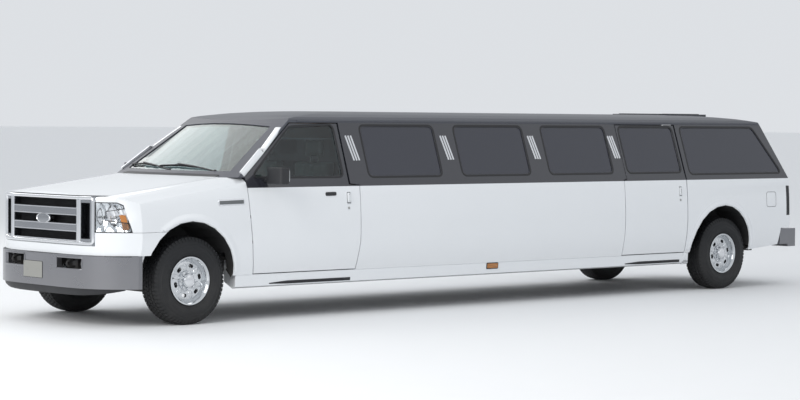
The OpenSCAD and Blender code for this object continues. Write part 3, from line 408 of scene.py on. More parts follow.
def join_rings(work: bmesh.types.BMesh, rings: Sequence[Sequence[bmesh.types.BMVert]], loop: bool = False) -> None:
    """Skin rings of vertices with faces.

    Args:
        work: Shape that gets the faces.
        rings: Rings with one length.
        loop: Join the last ring to the first, instead of closing both ends.
    """
    pairs = list(zip(rings[:-1], rings[1:])) + ([(rings[-1], rings[0])] if loop else [])
    for a, b in pairs:
        count = len(a)
        for i in range(count):
            k = (i + 1) % count
            work.faces.new((a[i], a[k], b[k], b[i]))
    if not loop:
        work.faces.new(list(reversed(rings[0])))
        work.faces.new(rings[-1])


def add_loft(work: bmesh.types.BMesh, rings: Sequence[Sequence[Vector]]) -> None:
    """Add a closed solid over rings of points with one length."""
    join_rings(work, [add_ring(work, ring) for ring in rings])


def shape(add: Callable[..., None], *sizes: object) -> bmesh.types.BMesh:
    """Return a new shape made by one of the add functions from its sizes."""
    work = bmesh.new()
    add(work, *sizes)
    return work


def add_sweep(work: bmesh.types.BMesh, line: Sequence[Hit], profile: Points, closed: bool = False) -> None:
    """Add a bar with one profile that follows a line.

    Args:
        work: Shape that gets the bar.
        line: Points along it, each with the direction away from the surface.
        profile: Ring of (across, away) pairs.
        closed: The line is a loop.
    """
    count = len(line)
    rings = []
    for i, (point, normal) in enumerate(line):
        before = line[i - 1][0] if closed or i else point
        after = line[(i + 1) % count][0] if closed or i < count - 1 else point
        along = (after - before).normalized()
        away = (normal - along * normal.dot(along)).normalized()
        across = along.cross(away)
        rings.append(add_ring(work, [point + across * a + away * b for a, b in profile]))
    join_rings(work, rings, closed)


def add_tube(work: bmesh.types.BMesh, path: Sequence[Vector], radius: float, sides: int = 10) -> None:
    """Add a round tube along a path.

    Args:
        work: Shape that gets the tube.
        path: Points along it.
        radius: Its radius.
        sides: Number of sides.
    """
    ring = [(radius * math.cos(2 * math.pi * i / sides), radius * math.sin(2 * math.pi * i / sides))
            for i in range(sides)]
    along = (path[1] - path[0]).normalized()
    guide = Vector((0, 0, 1)) if abs(along.z) < 0.8 else Vector((0, 1, 0))
    normals = []
    for i in range(len(path)):
        ahead = (path[min(i + 1, len(path) - 1)] - path[max(i - 1, 0)]).normalized()
        guide = (guide - ahead * guide.dot(ahead)).normalized()
        normals.append(guide.copy())
    add_sweep(work, list(zip(path, normals)), ring)


def add_lathe(work: bmesh.types.BMesh, profile: Points, centre: Vector, axis: Vector, count: int = 48) -> None:
    """Add a solid of revolution.

    Args:
        work: Shape that gets the solid.
        profile: (radius, height) pairs. One at radius 0 becomes a pole.
        centre: Point at height 0 on the axis.
        axis: Direction of growing height.
        count: Steps round the axis.
    """
    turn = Vector((0, 0, 1)).rotation_difference(axis).to_matrix()
    rings: list[object] = []
    for radius, height in profile:
        if radius < 1e-7:
            rings.append(work.verts.new(centre + turn @ Vector((0, 0, height))))
            continue
        rings.append(add_ring(work, [
            centre + turn @ Vector((radius * math.cos(2 * math.pi * i / count),
                                    radius * math.sin(2 * math.pi * i / count), height))
            for i in range(count)]))
    for a, b in zip(rings[:-1], rings[1:]):
        for i in range(count):
            k = (i + 1) % count
            if isinstance(a, list) and isinstance(b, list):
                work.faces.new((a[i], a[k], b[k], b[i]))
            elif isinstance(a, list):
                work.faces.new((a[i], a[k], b))
            elif isinstance(b, list):
                work.faces.new((a, b[k], b[i]))
    for ring, flip in ((rings[0], True), (rings[-1], False)):
        if isinstance(ring, list):
            work.faces.new(list(reversed(ring)) if flip else ring)


def add_block(work: bmesh.types.BMesh, low: Sequence[float], high: Sequence[float],
              turn: Optional[Matrix] = None) -> None:
    """Add a box between two corners, turned by a matrix when one is given."""
    made = bmesh.ops.create_cube(work, size=1.0)["verts"]
    centre = (Vector(low) + Vector(high)) / 2
    size = Vector(high) - Vector(low)
    for vert in made:
        vert.co = Vector((vert.co.x * size.x, vert.co.y * size.y, vert.co.z * size.z)) + centre
        if turn is not None:
            vert.co = turn @ vert.co


def add_prism(work: bmesh.types.BMesh, outline: Sequence[Vector], depth: Vector) -> None:
    """Add a prism from a ring of points and the vector to its far face."""
    add_loft(work, (outline, [p + depth for p in outline]))


def rectangle(low_a: float, low_b: float, high_a: float, high_b: float) -> Rectangle:
    """Return the corners of a rectangle."""
    return [(low_a, low_b), (high_a, low_b), (high_a, high_b), (low_a, high_b)]


def rounded_outline(points: Points, radius: float, steps: int = 5) -> list[tuple[float, float]]:
    """Return an outline with its corners rounded.

    Args:
        points: Corners in order.
        radius: How far back each corner is cut.
        steps: Segments in each corner.
    """
    made = []
    count = len(points)
    for i in range(count):
        a, b, c = (Vector(points[(i + d) % count]) for d in (-1, 0, 1))
        p = b + (a - b).normalized() * min(radius, (a - b).length * 0.49)
        q = b + (c - b).normalized() * min(radius, (c - b).length * 0.49)
        for k in range(steps + 1):
            t = k / steps
            spot = p * (1 - t) ** 2 + b * 2 * t * (1 - t) + q * t * t
            made.append((spot.x, spot.y))
    return made


def resampled(points: Points, step: float) -> list[tuple[float, float]]:
    """Return an outline with its long stretches divided about every step."""
    made = []
    for a, b in zip(points, list(points[1:]) + [points[0]]):
        parts = max(1, int(math.dist(a, b) / step))
        made += [(a[0] + (b[0] - a[0]) * k / parts, a[1] + (b[1] - a[1]) * k / parts) for k in range(parts)]
    return made


def shrunk(points: Points, share: float) -> list[tuple[float, float]]:
    """Return an outline drawn in towards its middle to a share of its size."""
    middle = [sum(p[k] for p in points) / len(points) for k in (0, 1)]
    return [(middle[0] + (a - middle[0]) * share, middle[1] + (b - middle[1]) * share) for a, b in points]


def grown(points: Points, amount: float) -> list[tuple[float, float]]:
    """Return an outline moved outwards by an amount."""
    area = sum(a[0] * b[1] - b[0] * a[1] for a, b in zip(points, list(points[1:]) + [points[0]]))
    sign = 1 if area > 0 else -1
    made = []
    count = len(points)
    for i in range(count):
        a, b = Vector(points[i - 1]), Vector(points[(i + 1) % count])
        along = (b - a).normalized()
        made.append((points[i][0] + sign * along.y * amount, points[i][1] - sign * along.x * amount))
    return made


class Skin:
    """Finds points on the surface of CAD nodes."""

    def __init__(self, *nodes: str) -> None:
        """Gather the nodes' faces."""
        work = bmesh.new()
        for node in nodes:
            work.from_mesh(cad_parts[node].data)
        self.tree = BVHTree.FromBMesh(work)
        work.free()

    def hit(self, start: Sequence[float], toward: Sequence[float]) -> Hit:
        """Return the first point and normal along a ray, or the nearest ones when it misses.

        Args:
            start: Where the ray starts.
            toward: Its direction.
        """
        ray = Vector(toward).normalized()
        spot, normal, _, _ = self.tree.ray_cast(Vector(start), ray)
        if spot is None:
            spot, normal, _, _ = self.tree.find_nearest(Vector(start) + ray)
        if normal.dot(ray) > 0:
            normal = -normal
        return spot, normal

    def side(self, x: float, z: float, side: int) -> Hit:
        """Return the point and normal on the outside of one body side."""
        return self.hit((x, 1.6 * side, z), (0, -side, 0))

    def rim(self, x: float, z: float, side: int) -> Hit:
        """Return the point on one body side and its normal turned square to X."""
        spot, normal = self.side(x, z, side)
        return spot, Vector((0, normal.y, normal.z)).normalized()

    def line(self, outline: Points, side: int, step: float) -> list[Hit]:
        """Return where an outline of (station, z) meets one body side."""
        return [self.rim(at(station), z, side) for station, z in resampled(outline, step)]


# ---------------------------------------------------------------- repeats
class Repeater:
    """Geometry Nodes tree that repeats a shape by equal steps and turns."""

    TREE = "repeat_shape"
    _sockets: dict[str, str] = {}

    @classmethod
    def tree(cls) -> bpy.types.NodeTree:
        """Return the tree, built on first use."""
        found = bpy.data.node_groups.get(cls.TREE)
        if found:
            return found
        made = bpy.data.node_groups.new(cls.TREE, "GeometryNodeTree")
        face = made.interface
        face.new_socket("Shape", in_out="INPUT", socket_type="NodeSocketGeometry")
        for name, kind in (("Count", "NodeSocketInt"), ("Step", "NodeSocketVector"), ("Turn", "NodeSocketVector"),
                           ("Material", "NodeSocketMaterial")):
            cls._sockets[name] = face.new_socket(name, in_out="INPUT", socket_type=kind).identifier
        face.new_socket("Shape", in_out="OUTPUT", socket_type="NodeSocketGeometry")
        nodes, links = made.nodes, made.links
        start, end = nodes.new("NodeGroupInput"), nodes.new("NodeGroupOutput")
        line = nodes.new("GeometryNodeMeshLine")
        line.mode = "OFFSET"
        index = nodes.new("GeometryNodeInputIndex")
        turn = nodes.new("ShaderNodeVectorMath")
        turn.operation = "SCALE"
        put = nodes.new("GeometryNodeInstanceOnPoints")
        real = nodes.new("GeometryNodeRealizeInstances")
        paint = nodes.new("GeometryNodeSetMaterial")
        links.new(start.outputs["Count"], line.inputs["Count"])
        links.new(start.outputs["Step"], line.inputs["Offset"])
        links.new(start.outputs["Turn"], turn.inputs[0])
        links.new(index.outputs[0], turn.inputs["Scale"])
        links.new(line.outputs["Mesh"], put.inputs["Points"])
        links.new(start.outputs["Shape"], put.inputs["Instance"])
        links.new(turn.outputs["Vector"], put.inputs["Rotation"])
        links.new(put.outputs["Instances"], real.inputs["Geometry"])
        links.new(real.outputs["Geometry"], paint.inputs["Geometry"])
        links.new(start.outputs["Material"], paint.inputs["Material"])
        links.new(paint.outputs["Geometry"], end.inputs["Shape"])
        return made

    @classmethod
    def spread(cls, work: bmesh.types.BMesh, count: int, finish: Finish, step: Sequence[float] = (0, 0, 0),
               turn: Sequence[float] = (0, 0, 0)) -> bpy.types.Mesh:
        """Return a plain mesh with a shape repeated.

        Args:
            work: The shape, which is freed.
            count: How many.
            finish: Its material.
            step: Move from one to the next.
            turn: Turn from one to the next, in radians about the origin.

        Returns:
            The realised mesh.
        """
        bmesh.ops.recalc_face_normals(work, faces=work.faces)
        mesh = bpy.data.meshes.new("repeat_shape")
        work.to_mesh(mesh)
        work.free()
        carrier = bpy.data.objects.new("repeat_shape", mesh)
        bpy.context.scene.collection.objects.link(carrier)
        nodes = carrier.modifiers.new("repeat", "NODES")
        nodes.node_group = cls.tree()
        nodes[cls._sockets["Count"]] = count
        nodes[cls._sockets["Step"]] = tuple(step)
        nodes[cls._sockets["Turn"]] = tuple(turn)
        nodes[cls._sockets["Material"]] = finish.material()
        ready = carrier.evaluated_get(bpy.context.evaluated_depsgraph_get())
        baked = bpy.data.meshes.new_from_object(ready)
        carrier.modifiers.remove(nodes)
        bpy.data.objects.remove(carrier)
        return baked

    @classmethod
    def piece(cls, name: str, work: bmesh.types.BMesh, count: int, finish: Finish, body: str,
              step: Sequence[float] = (0, 0, 0), turn: Sequence[float] = (0, 0, 0),
              place: Optional[Matrix] = None, smooth: float = 35.0) -> bpy.types.Object:
        """Make a finished piece out of a repeated shape.

        Args:
            name: Name of the piece.
            work: The shape.
            count: How many.
            finish: Its material.
            body: CAD body it rides on.
            step: Move from one to the next.
            turn: Turn from one to the next.
            place: Where the whole row goes.
            smooth: Edges flatter than this many degrees are smooth.

        Returns:
            The new object.
        """
        baked = cls.spread(work, count, finish, step, turn)
        again = bmesh.new()
        again.from_mesh(baked)
        if place is not None:
            bmesh.ops.transform(again, matrix=place, verts=again.verts)
        return finish_mesh(name, again, finish, body, smooth)


def rounded_copy(node: str, finish: Finish, body: str, bevel: float, steps: int = 2, smooth: float = 32.0,
                 crease: float = 0.0) -> bpy.types.Object:
    """Make a panel with a CAD node's shape and rounded edges, in its place.

    Args:
        node: CAD node that it stands for.
        finish: Its material.
        body: CAD body it rides on.
        bevel: Width of the rounded edges.
        steps: Segments in each rounded edge.
        smooth: Edges flatter than this many degrees are smooth.
        crease: Width of the rounding over shallow folds of the skin.

    Returns:
        The new object.
    """
    work = bmesh.new()
    work.from_mesh(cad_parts[node].data)
    bmesh.ops.remove_doubles(work, verts=work.verts, dist=2e-5)
    bmesh.ops.dissolve_limit(work, angle_limit=math.radians(0.4), verts=work.verts, edges=work.edges)
    if crease:
        folds = [e for e in work.edges if len(e.link_faces) == 2 and e.calc_length() > 0.03
                 and math.radians(9) < e.calc_face_angle(0) < math.radians(55)]
        bmesh.ops.bevel(work, geom=folds, offset=crease, segments=6, profile=0.5, affect="EDGES",
                        clamp_overlap=True)
    piece = finish_mesh(node + "_skin", work, finish, body, smooth, bevel, steps, recalc=False)
    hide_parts(node)
    LOG.info("%s stands for %s", piece.name, node)
    return piece


# ---------------------------------------------------------------- the car's own places
def box_centre(node: str) -> Vector:
    """Return the middle of a CAD node's box."""
    low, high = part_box(node)
    return (low + high) / 2


FRONT_X = box_centre("tyre_front_left").x
REAR_X = box_centre("tyre_rear_left").x
AXLE_Z = box_centre("tyre_front_left").z
NO_MOVE = Vector((0, 0, 0))
PLATE_BOLT = [(0.0055, 0.0), (0.0055, 0.0016), (0.0035, 0.0026), (0.0, 0.0028)]
PLATE_BOLTS_APART = 0.178


def at(station: float) -> float:
    """Return the X of a station, which is a distance behind the front axle."""
    return FRONT_X - station


def spun(radius: float, angle: float, y: float = 0.0) -> Vector:
    """Return a point on a circle round the Y axis."""
    return Vector((radius * math.cos(angle), y, radius * math.sin(angle)))


def moved(x: float, y: float, z: float) -> Matrix:
    """Return the matrix of a move."""
    return Matrix.Translation((x, y, z))


@dataclass
class Panels:
    """Painted body panels, which keep the CAD shapes and get rolled edges."""

    edge: float = 0.0028
    hinge_edge: float = 0.0015
    bumper_edge: float = 0.010
    rear_bumper_edge: float = 0.022
    grille_edge: float = 0.007
    hood_edge: float = 0.004
    fender_crease: float = 0.045
    hood_crease: float = 0.03

    def build(self) -> None:
        """Make every painted panel."""
        two_tone, white = Finishes.BODY_PAINT, Finishes.WHITE_PAINT
        for word in SIDE_WORD.values():
            for door, finish in (("front_door", two_tone), ("rear_door", two_tone), ("cargo_door", white)):
                rounded_copy(f"{door}_{word}", finish, f"{door}_{word}", self.edge)
        for node, finish in (("side_panels", two_tone), ("quarter_panels", two_tone), ("front_valance", white),
                             ("rocker_panels", white)):
            rounded_copy(node, finish, BODY, self.edge)
        rounded_copy("front_fenders", white, BODY, self.edge, crease=self.fender_crease)
        rounded_copy("hood", white, "hood", self.hood_edge, crease=self.hood_crease)
        rounded_copy("windshield_frame", Finishes.ROOF_PAINT, BODY, self.edge)
        rounded_copy("roof", Finishes.ROOF_PAINT, BODY, self.hinge_edge)
        rounded_copy("liftgate", Finishes.ROOF_PAINT, "liftgate", self.hinge_edge)
        rounded_copy("front_bumper", Finishes.BUMPER_METAL, BODY, self.bumper_edge, steps=4)
        rounded_copy("rear_bumper", Finishes.BUMPER_METAL, BODY, self.rear_bumper_edge, steps=5)
        rounded_copy("grille", Finishes.SATIN_CHROME, BODY, self.grille_edge, steps=3)

    @staticmethod
    def dress_nodes() -> None:
        """Give each CAD node that stays its finish."""
        sides = SIDE_WORD.values()
        nodes = {
            Finishes.BLACK_PLASTIC: ["firewall", "radiator_support"],
            Finishes.FRAME_PAINT: ["frame_rails", "cross_members", "tow_receiver", "front_suspension", "rear_axle",
                                   "leaf_springs"],
            Finishes.UNDER_BLACK: ["floor_pan", "wheel_housings", "fuel_tank"],
            Finishes.CLEAR_GLASS: ["windshield"],
            Finishes.FRONT_GLASS: [f"front_glass_{word}" for word in sides],
            Finishes.DARK_GLASS: ["side_windows", "liftgate_glass", "roof_glass"]
            + [f"rear_glass_{word}" for word in sides],
            Finishes.CAST_IRON: ["engine"] + [f"knuckle_{word}" for word in sides],
            Finishes.STEEL: ["driveshaft", "exhaust"],
            Finishes.WOODGRAIN: ["partition"],
        }
        for finish, names in nodes.items():
            for node in names:
                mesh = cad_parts[node].data
                mesh.materials.clear()
                mesh.materials.append(finish.material())


# ---------------------------------------------------------------- wheels
@dataclass
class RoadWheel:
    """One tyre and its polished alloy wheel, on one body."""

    end: str
    side: int
    lugs: int = 8
    ribs: int = 6
    pitches: int = 62
    bore: float = 0.2062
    steps: int = 96

    def __post_init__(self) -> None:
        """Read the wheel's place and sizes from its CAD nodes."""
        word = f"{self.end}_{SIDE_WORD[self.side]}"
        self.tyre_node, self.wheel_node = f"tyre_{word}", f"wheel_{word}"
        self.body = f"{self.end}_wheel_{SIDE_WORD[self.side]}"
        low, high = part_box(self.tyre_node)
        self.centre = (low + high) / 2
        self.radius = (high.z - low.z) / 2
        self.half = (high.y - low.y) / 2
        self.axis = Vector((0, self.side, 0))

    def build(self) -> None:
        """Make the tyre, its tread and the wheel with its cap and nuts."""
        self._tyre()
        self._tread()
        self._wheel()

    def _tyre(self) -> None:
        """Make the carcass with its shoulder, rim guard and sidewall rings."""
        r, h, b = self.radius, self.half, self.bore
        half = [
            (b, 0.070), (b + 0.001, 0.090), (b + 0.006, 0.0975), (b + 0.014, 0.1005), (b + 0.021, 0.1050),
            (b + 0.024, 0.1052), (b + 0.026, 0.1092), (b + 0.034, 0.1140), (b + 0.043, 0.1185),
            (b + 0.0445, 0.1202), (b + 0.0475, 0.1206), (b + 0.049, 0.1200), (b + 0.062, h - 0.0052),
            (b + 0.078, h - 0.0030), (b + 0.0795, h - 0.0012), (b + 0.090, h - 0.0006), (b + 0.0915, h - 0.0028),
            (b + 0.104, h - 0.0048), (b + 0.118, h - 0.0085), (b + 0.1195, h - 0.0072), (b + 0.1235, h - 0.0082),
            (b + 0.125, h - 0.0104), (b + 0.138, h - 0.0150), (b + 0.152, h - 0.0205), (r - 0.034, h - 0.0250),
            (r - 0.022, h - 0.0310), (r - 0.0135, h - 0.0395), (r - 0.0105, h - 0.052), (r - 0.0095, 0.040),
            (r - 0.0090, 0.0),
        ]
        profile = [(radius, -y) for radius, y in half[:-1]] + [(radius, y) for radius, y in reversed(half)]
        work = bmesh.new()
        join_rings(work, [add_ring(work, [self.centre + spun(radius, 2 * math.pi * i / self.steps, y)
                                          for i in range(self.steps)]) for radius, y in profile], loop=True)
        piece = finish_mesh(self.tyre_node + "_carcass", work, Finishes.RUBBER, self.body, 38)
        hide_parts(self.tyre_node)
        LOG.info("tyre %s", self.tyre_node)

    def _tread(self) -> None:
        """Make one pitch of the tread and repeat it round the tyre."""
        work = bmesh.new()
        r, step = self.radius, 2 * math.pi / self.pitches
        rows = ((-0.098, -0.063, 0.0, 0.05), (-0.055, -0.021, 0.35, 0.16), (-0.0145, 0.0145, 0.1, -0.2),
                (0.021, 0.055, 0.45, 0.16), (0.063, 0.098, 0.1, 0.05))
        for low_y, high_y, phase, slant in rows:
            base, top = [], []
            for y, part in ((low_y, 0.0), (high_y, 0.0), (high_y, 0.80), (low_y, 0.80)):
                angle = (phase + part + slant * (y - low_y) / 0.035) * step
                drop = 0.0042 if abs(y) > 0.08 else 0.0
                base.append(spun(r - 0.014, angle, y))
                top.append(spun(r - 0.0004 - drop, angle, y))
            add_loft(work, (base, top))
        shoulder = r - 0.0065
        for side in SIDES:
            inside, outside = [], []
            for part, radius in ((0.06, shoulder), (0.60, shoulder), (0.60, r - 0.040), (0.06, r - 0.040)):
                angle, lean = (part + 0.1) * step, (shoulder - radius) * 0.42
                inside.append(spun(radius, angle, side * (0.093 + lean)))
                outside.append(spun(radius, angle, side * (self.half - 0.034 + lean * 1.15)))
            add_loft(work, (inside, outside))
        Repeater.piece(self.tyre_node + "_tread", work, self.pitches, Finishes.RUBBER, self.body,
                       turn=(0, step, 0), place=Matrix.Translation(self.centre), smooth=20)

    def _wheel(self) -> None:
        """Make the alloy wheel, its centre cap, ribs, nuts and valve."""
        node, body = self.wheel_node, self.body
        rounded_copy(node, Finishes.ALLOY, body, 0.0035, steps=3, smooth=26)
        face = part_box(node)[1].y if self.side > 0 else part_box(node)[0].y
        hub = Vector((self.centre.x, face - self.side * 0.0135, self.centre.z))
        cap = [(0.052, -0.02), (0.055, 0.0), (0.054, 0.004), (0.047, 0.0085), (0.030, 0.0118), (0.012, 0.0128),
               (0.0, 0.0130)]
        finish_mesh(node + "_cap", shape(add_lathe, cap, hub, self.axis, 40), Finishes.CHROME, body, 30)
        nut = [(0.0135, 0.0), (0.0135, 0.010), (0.0112, 0.014), (0.0105, 0.024), (0.008, 0.028), (0.0, 0.029)]
        mirrored = Matrix.Diagonal((1, self.side, 1, 1))
        Repeater.piece(node + "_nuts", shape(add_lathe, nut, Vector((0.078, 0, 0)), Vector((0, 1, 0)), 6),
                       self.lugs, Finishes.CHROME, body, turn=(0, 2 * math.pi / self.lugs, 0),
                       place=Matrix.Translation(self.centre + self.axis * 0.062) @ mirrored, smooth=25)
        rib = shape(add_loft, [[Vector((radius, y, z)) for y, z in (
            (0.060, -width), (height - 0.006, -width), (height, -width * 0.6), (height, width * 0.6),
            (height - 0.006, width), (0.060, width))] for radius, height, width in (
                (0.094, 0.0715, 0.013), (0.108, 0.0795, 0.020), (0.130, 0.0800, 0.023), (0.152, 0.0770, 0.021),
                (0.170, 0.0705, 0.014))])
        Repeater.piece(node + "_ribs", rib, self.ribs, Finishes.ALLOY, body,
                       turn=(0, 2 * math.pi / self.ribs, 0), smooth=50,
                       place=Matrix.Translation(self.centre) @ mirrored @ Matrix.Rotation(math.radians(44), 4, "Y"))
        valve = [(0.0035, 0.0), (0.0035, 0.018), (0.0048, 0.019), (0.0048, 0.030), (0.003, 0.032), (0.0, 0.032)]
        stem = self.centre + Vector((0.172, self.side * 0.06, 0.030))
        finish_mesh(node + "_valve", shape(add_lathe, valve, stem, self.axis, 12), Finishes.BLACK_PLASTIC, body)


# ---------------------------------------------------------------- front end
@dataclass
class FrontEnd:
    """Grille, headlights, bumper details, cowl and wipers."""

    face_half: float = 0.500
    slot_low: float = 0.780
    slot_pitch: float = 0.146
    slot_height: float = 0.073
    slots: int = 3
    lens_thickness: float = 0.004
    lamp_columns: int = 26
    lamp_rows: int = 10

    def __post_init__(self) -> None:
        """Find the surfaces that the details lie on."""
        self.grille = Skin("grille")
        self.lamp = Skin("headlights")
        self.bumper = Skin("front_bumper")
        self.nose_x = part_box("grille")[1].x

    def build(self) -> None:
        """Make every front-end detail."""
        self._grille_frame()
        self._grille_mesh()
        self._emblem()
        for side in SIDES:
            self._corner_filler(side)
        for side in SIDES:
            self._headlight(side)
        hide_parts("headlights")
        self._bumper()
        self._plate()
        self._cowl()
        self._wipers()

    def _front(self, skin: Skin, y: float, z: float) -> Hit:
        """Return the point and normal of a surface seen from ahead."""
        return skin.hit((self.nose_x + 0.5, y, z), (-1, 0, 0))

    def _front_line(self, outline: Points, skin: Skin, step: float = 0.03) -> list[Hit]:
        """Return where a front-view outline of (y, z) meets a surface."""
        return [self._front(skin, y, z) for y, z in resampled(outline, step)]

    def _grille_frame(self) -> None:
        """Make the bright outer frame, the two corner bars and the beads round the slots."""
        low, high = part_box("grille")
        half, base, top = high.y - 0.016, low.z + 0.018, high.z - 0.018
        outline = rounded_outline(rectangle(-half, base, half, top), 0.03, 4)
        band = [(-0.017, -0.010), (-0.017, 0.004), (-0.010, 0.013), (0.0, 0.016), (0.010, 0.013), (0.017, 0.004),
                (0.017, -0.010)]
        finish_mesh("grille_frame", shape(add_sweep, self._front_line(outline, self.grille), band, True),
                    Finishes.CHROME, BODY, 60)
        bar = [(-0.026, -0.008), (-0.024, 0.004), (-0.014, 0.014), (0.0, 0.019), (0.014, 0.014), (0.024, 0.004),
               (0.026, -0.008)]
        corner = bmesh.new()
        for side in SIDES:
            add_sweep(corner, [self._front(self.grille, side * 0.532,
                                           base + 0.014 + (top - base - 0.028) * i / 14) for i in range(15)], bar)
        finish_mesh("grille_corner_bars", corner, Finishes.CHROME, BODY, 60)
        beads = bmesh.new()
        bead = [(-0.004, -0.004), (-0.003, 0.003), (0.003, 0.003), (0.004, -0.004)]
        for i in range(self.slots):
            z = self.slot_low + i * self.slot_pitch
            slot = rectangle(-self.face_half, z, self.face_half, z + self.slot_height)
            edge = grown(rounded_outline(slot, 0.008, 2), 0.006)
            add_sweep(beads, self._front_line(edge, self.grille, 0.05), bead, True)
        finish_mesh("grille_slot_beads", beads, Finishes.CHROME, BODY, 60)

    def _grille_mesh(self) -> None:
        """Make the dark mesh inside the slots and the louvres of the side slots."""
        depth = self.nose_x - 0.095
        rails = bmesh.new()
        for i in range(self.slots):
            base = self.slot_low + i * self.slot_pitch
            Repeater.piece(f"grille_mesh_{i + 1}", shape(add_block, (-0.012, -0.0016, -0.0385),
                                                         (0.012, 0.0016, 0.0385)),
                           67, Finishes.BLACK_PLASTIC, BODY, step=(0, 0.015, 0),
                           place=moved(depth, -0.495, base + self.slot_height / 2))
            for third in (1, 2):
                z = base + self.slot_height * third / 3
                add_block(rails, (depth - 0.010, -0.5, z - 0.0016), (depth + 0.008, 0.5, z + 0.0016))
        finish_mesh("grille_mesh_rails", rails, Finishes.BLACK_PLASTIC, BODY)
        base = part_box("grille")[0].z + 0.073
        for side in SIDES:
            louvre = shape(add_block, (-0.05, -0.052, -0.003), (0.02, 0.052, 0.003), Matrix.Rotation(0.35, 4, "Y"))
            Repeater.piece(f"grille_louvres_{SIDE_WORD[side]}", louvre, 15, Finishes.BLACK_PLASTIC, BODY,
                           step=(0, 0, 0.021), place=moved(self.nose_x - 0.165, side * 0.611, base))

    def _corner_filler(self, side: int) -> None:
        """Make the white filler over the inner corner of a headlight."""
        rings = []
        for y in (0.7150, 0.7180, 0.735, 0.752, 0.769, 0.784):
            front = self.nose_x - 0.0675 - 0.56 * (y - 0.72) - (0.004 if y < 0.716 else 0.0)
            rings.append([Vector((front - back, side * y, z)) for back, z in (
                (0.0, 1.1275), (0.0, 1.1620), (0.004, 1.1680), (0.014, 1.1722), (0.060, 1.1775), (0.150, 1.1785),
                (0.150, 1.1500), (0.040, 1.1275))])
        finish_mesh(f"headlight_filler_{SIDE_WORD[side]}", shape(add_loft, rings), Finishes.WHITE_PAINT, BODY, 40)

    def _emblem(self) -> None:
        """Make the plain oval badge in the middle of the grille."""
        z = self.slot_low + self.slot_pitch + self.slot_height / 2
        spot, _ = self._front(self.grille, 0, z + 0.055)
        base, count = Vector((spot.x - 0.004, 0, z)), 40
        for part, rows, finish, smooth in (
                ("rim", ((1.00, -0.03), (1.00, 0.010), (0.965, 0.017), (0.90, 0.0185), (0.855, 0.014),
                         (0.84, 0.0125)), Finishes.CHROME, 50),
                ("face", ((0.845, 0.011), (0.84, 0.0142), (0.5, 0.0165), (0.15, 0.0172)),
                 Finishes.SATIN_CHROME, 60)):
            rings = [[base + Vector((out, 0.112 * share * math.cos(2 * math.pi * i / count),
                                     0.046 * share * math.sin(2 * math.pi * i / count)))
                      for i in range(count)] for share, out in rows]
            finish_mesh(f"grille_badge_{part}", shape(add_loft, rings), finish, BODY, smooth)

    def _lamp_grid(self, side: int, columns: int, rows: int, margin: float) -> list[list[Hit]]:
        """Return rows of points and normals over the headlight's outside.

        Args:
            side: Which headlight.
            columns: Steps round the corner.
            rows: Steps up.
            margin: Distance kept from the edge.
        """
        low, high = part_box("headlights")
        base, top = low.z + margin, high.z - margin
        inner_y, hub_y = 0.7155 + margin, 0.60
        rear_edge = [(0.857, 0.636), (1.0, 0.6735), (1.097, 0.703), (1.124, 0.748)]
        grid = []
        for r in range(rows + 1):
            z = base + (top - base) * r / rows
            ahead = rear_edge[-1][1]
            for (z0, s0), (z1, s1) in zip(rear_edge[:-1], rear_edge[1:]):
                if z0 <= z <= z1:
                    ahead = s0 + (s1 - s0) * (z - z0) / (z1 - z0)
            rear = FRONT_X + ahead + margin
            hub = Vector((rear - 0.05, side * hub_y, z))
            front, _ = self._front(self.lamp, side * inner_y, z)
            rear_spot, _ = self.lamp.side(rear, z, side)
            first = math.atan2(inner_y - hub_y, front.x - hub.x)
            last = math.atan2(abs(rear_spot.y) - hub_y, rear_spot.x - hub.x)
            line = []
            for c in range(columns + 1):
                angle = first + (last - first) * (c / columns)
                ray = Vector((math.cos(angle), side * math.sin(angle), 0))
                line.append(self.lamp.hit(hub + ray * 1.5, -ray))
            grid.append(line)
        return grid

    @staticmethod
    def _border(grid: Sequence[Sequence[object]]) -> list[tuple[int, int]]:
        """Return the rows and columns round the edge of a grid, in order."""
        rows, columns = len(grid), len(grid[0])
        return [(0, c) for c in range(columns)] + [(r, columns - 1) for r in range(1, rows)] \
            + [(rows - 1, c) for c in range(columns - 2, -1, -1)] + [(r, 0) for r in range(rows - 2, 0, -1)]

    @classmethod
    def _add_sheet(cls, work: bmesh.types.BMesh, grid: list[list[Hit]], outer: float, inner: float) -> None:
        """Add a sheet between two depths below a grid of surface points.

        Args:
            work: Shape that gets the sheet.
            grid: Rows of points and normals.
            outer: Depth of the outer face.
            inner: Depth of the inner face.
        """
        front, back = [[[work.verts.new(p - n * depth) for p, n in line] for line in grid]
                       for depth in (outer, inner)]
        for r in range(len(grid) - 1):
            for c in range(len(grid[0]) - 1):
                for face in (front, back):
                    work.faces.new((face[r][c], face[r][c + 1], face[r + 1][c + 1], face[r + 1][c]))
        edge = cls._border(grid)
        for (r0, c0), (r1, c1) in zip(edge, edge[1:] + edge[:1]):
            work.faces.new((front[r0][c0], back[r0][c0], back[r1][c1], front[r1][c1]))

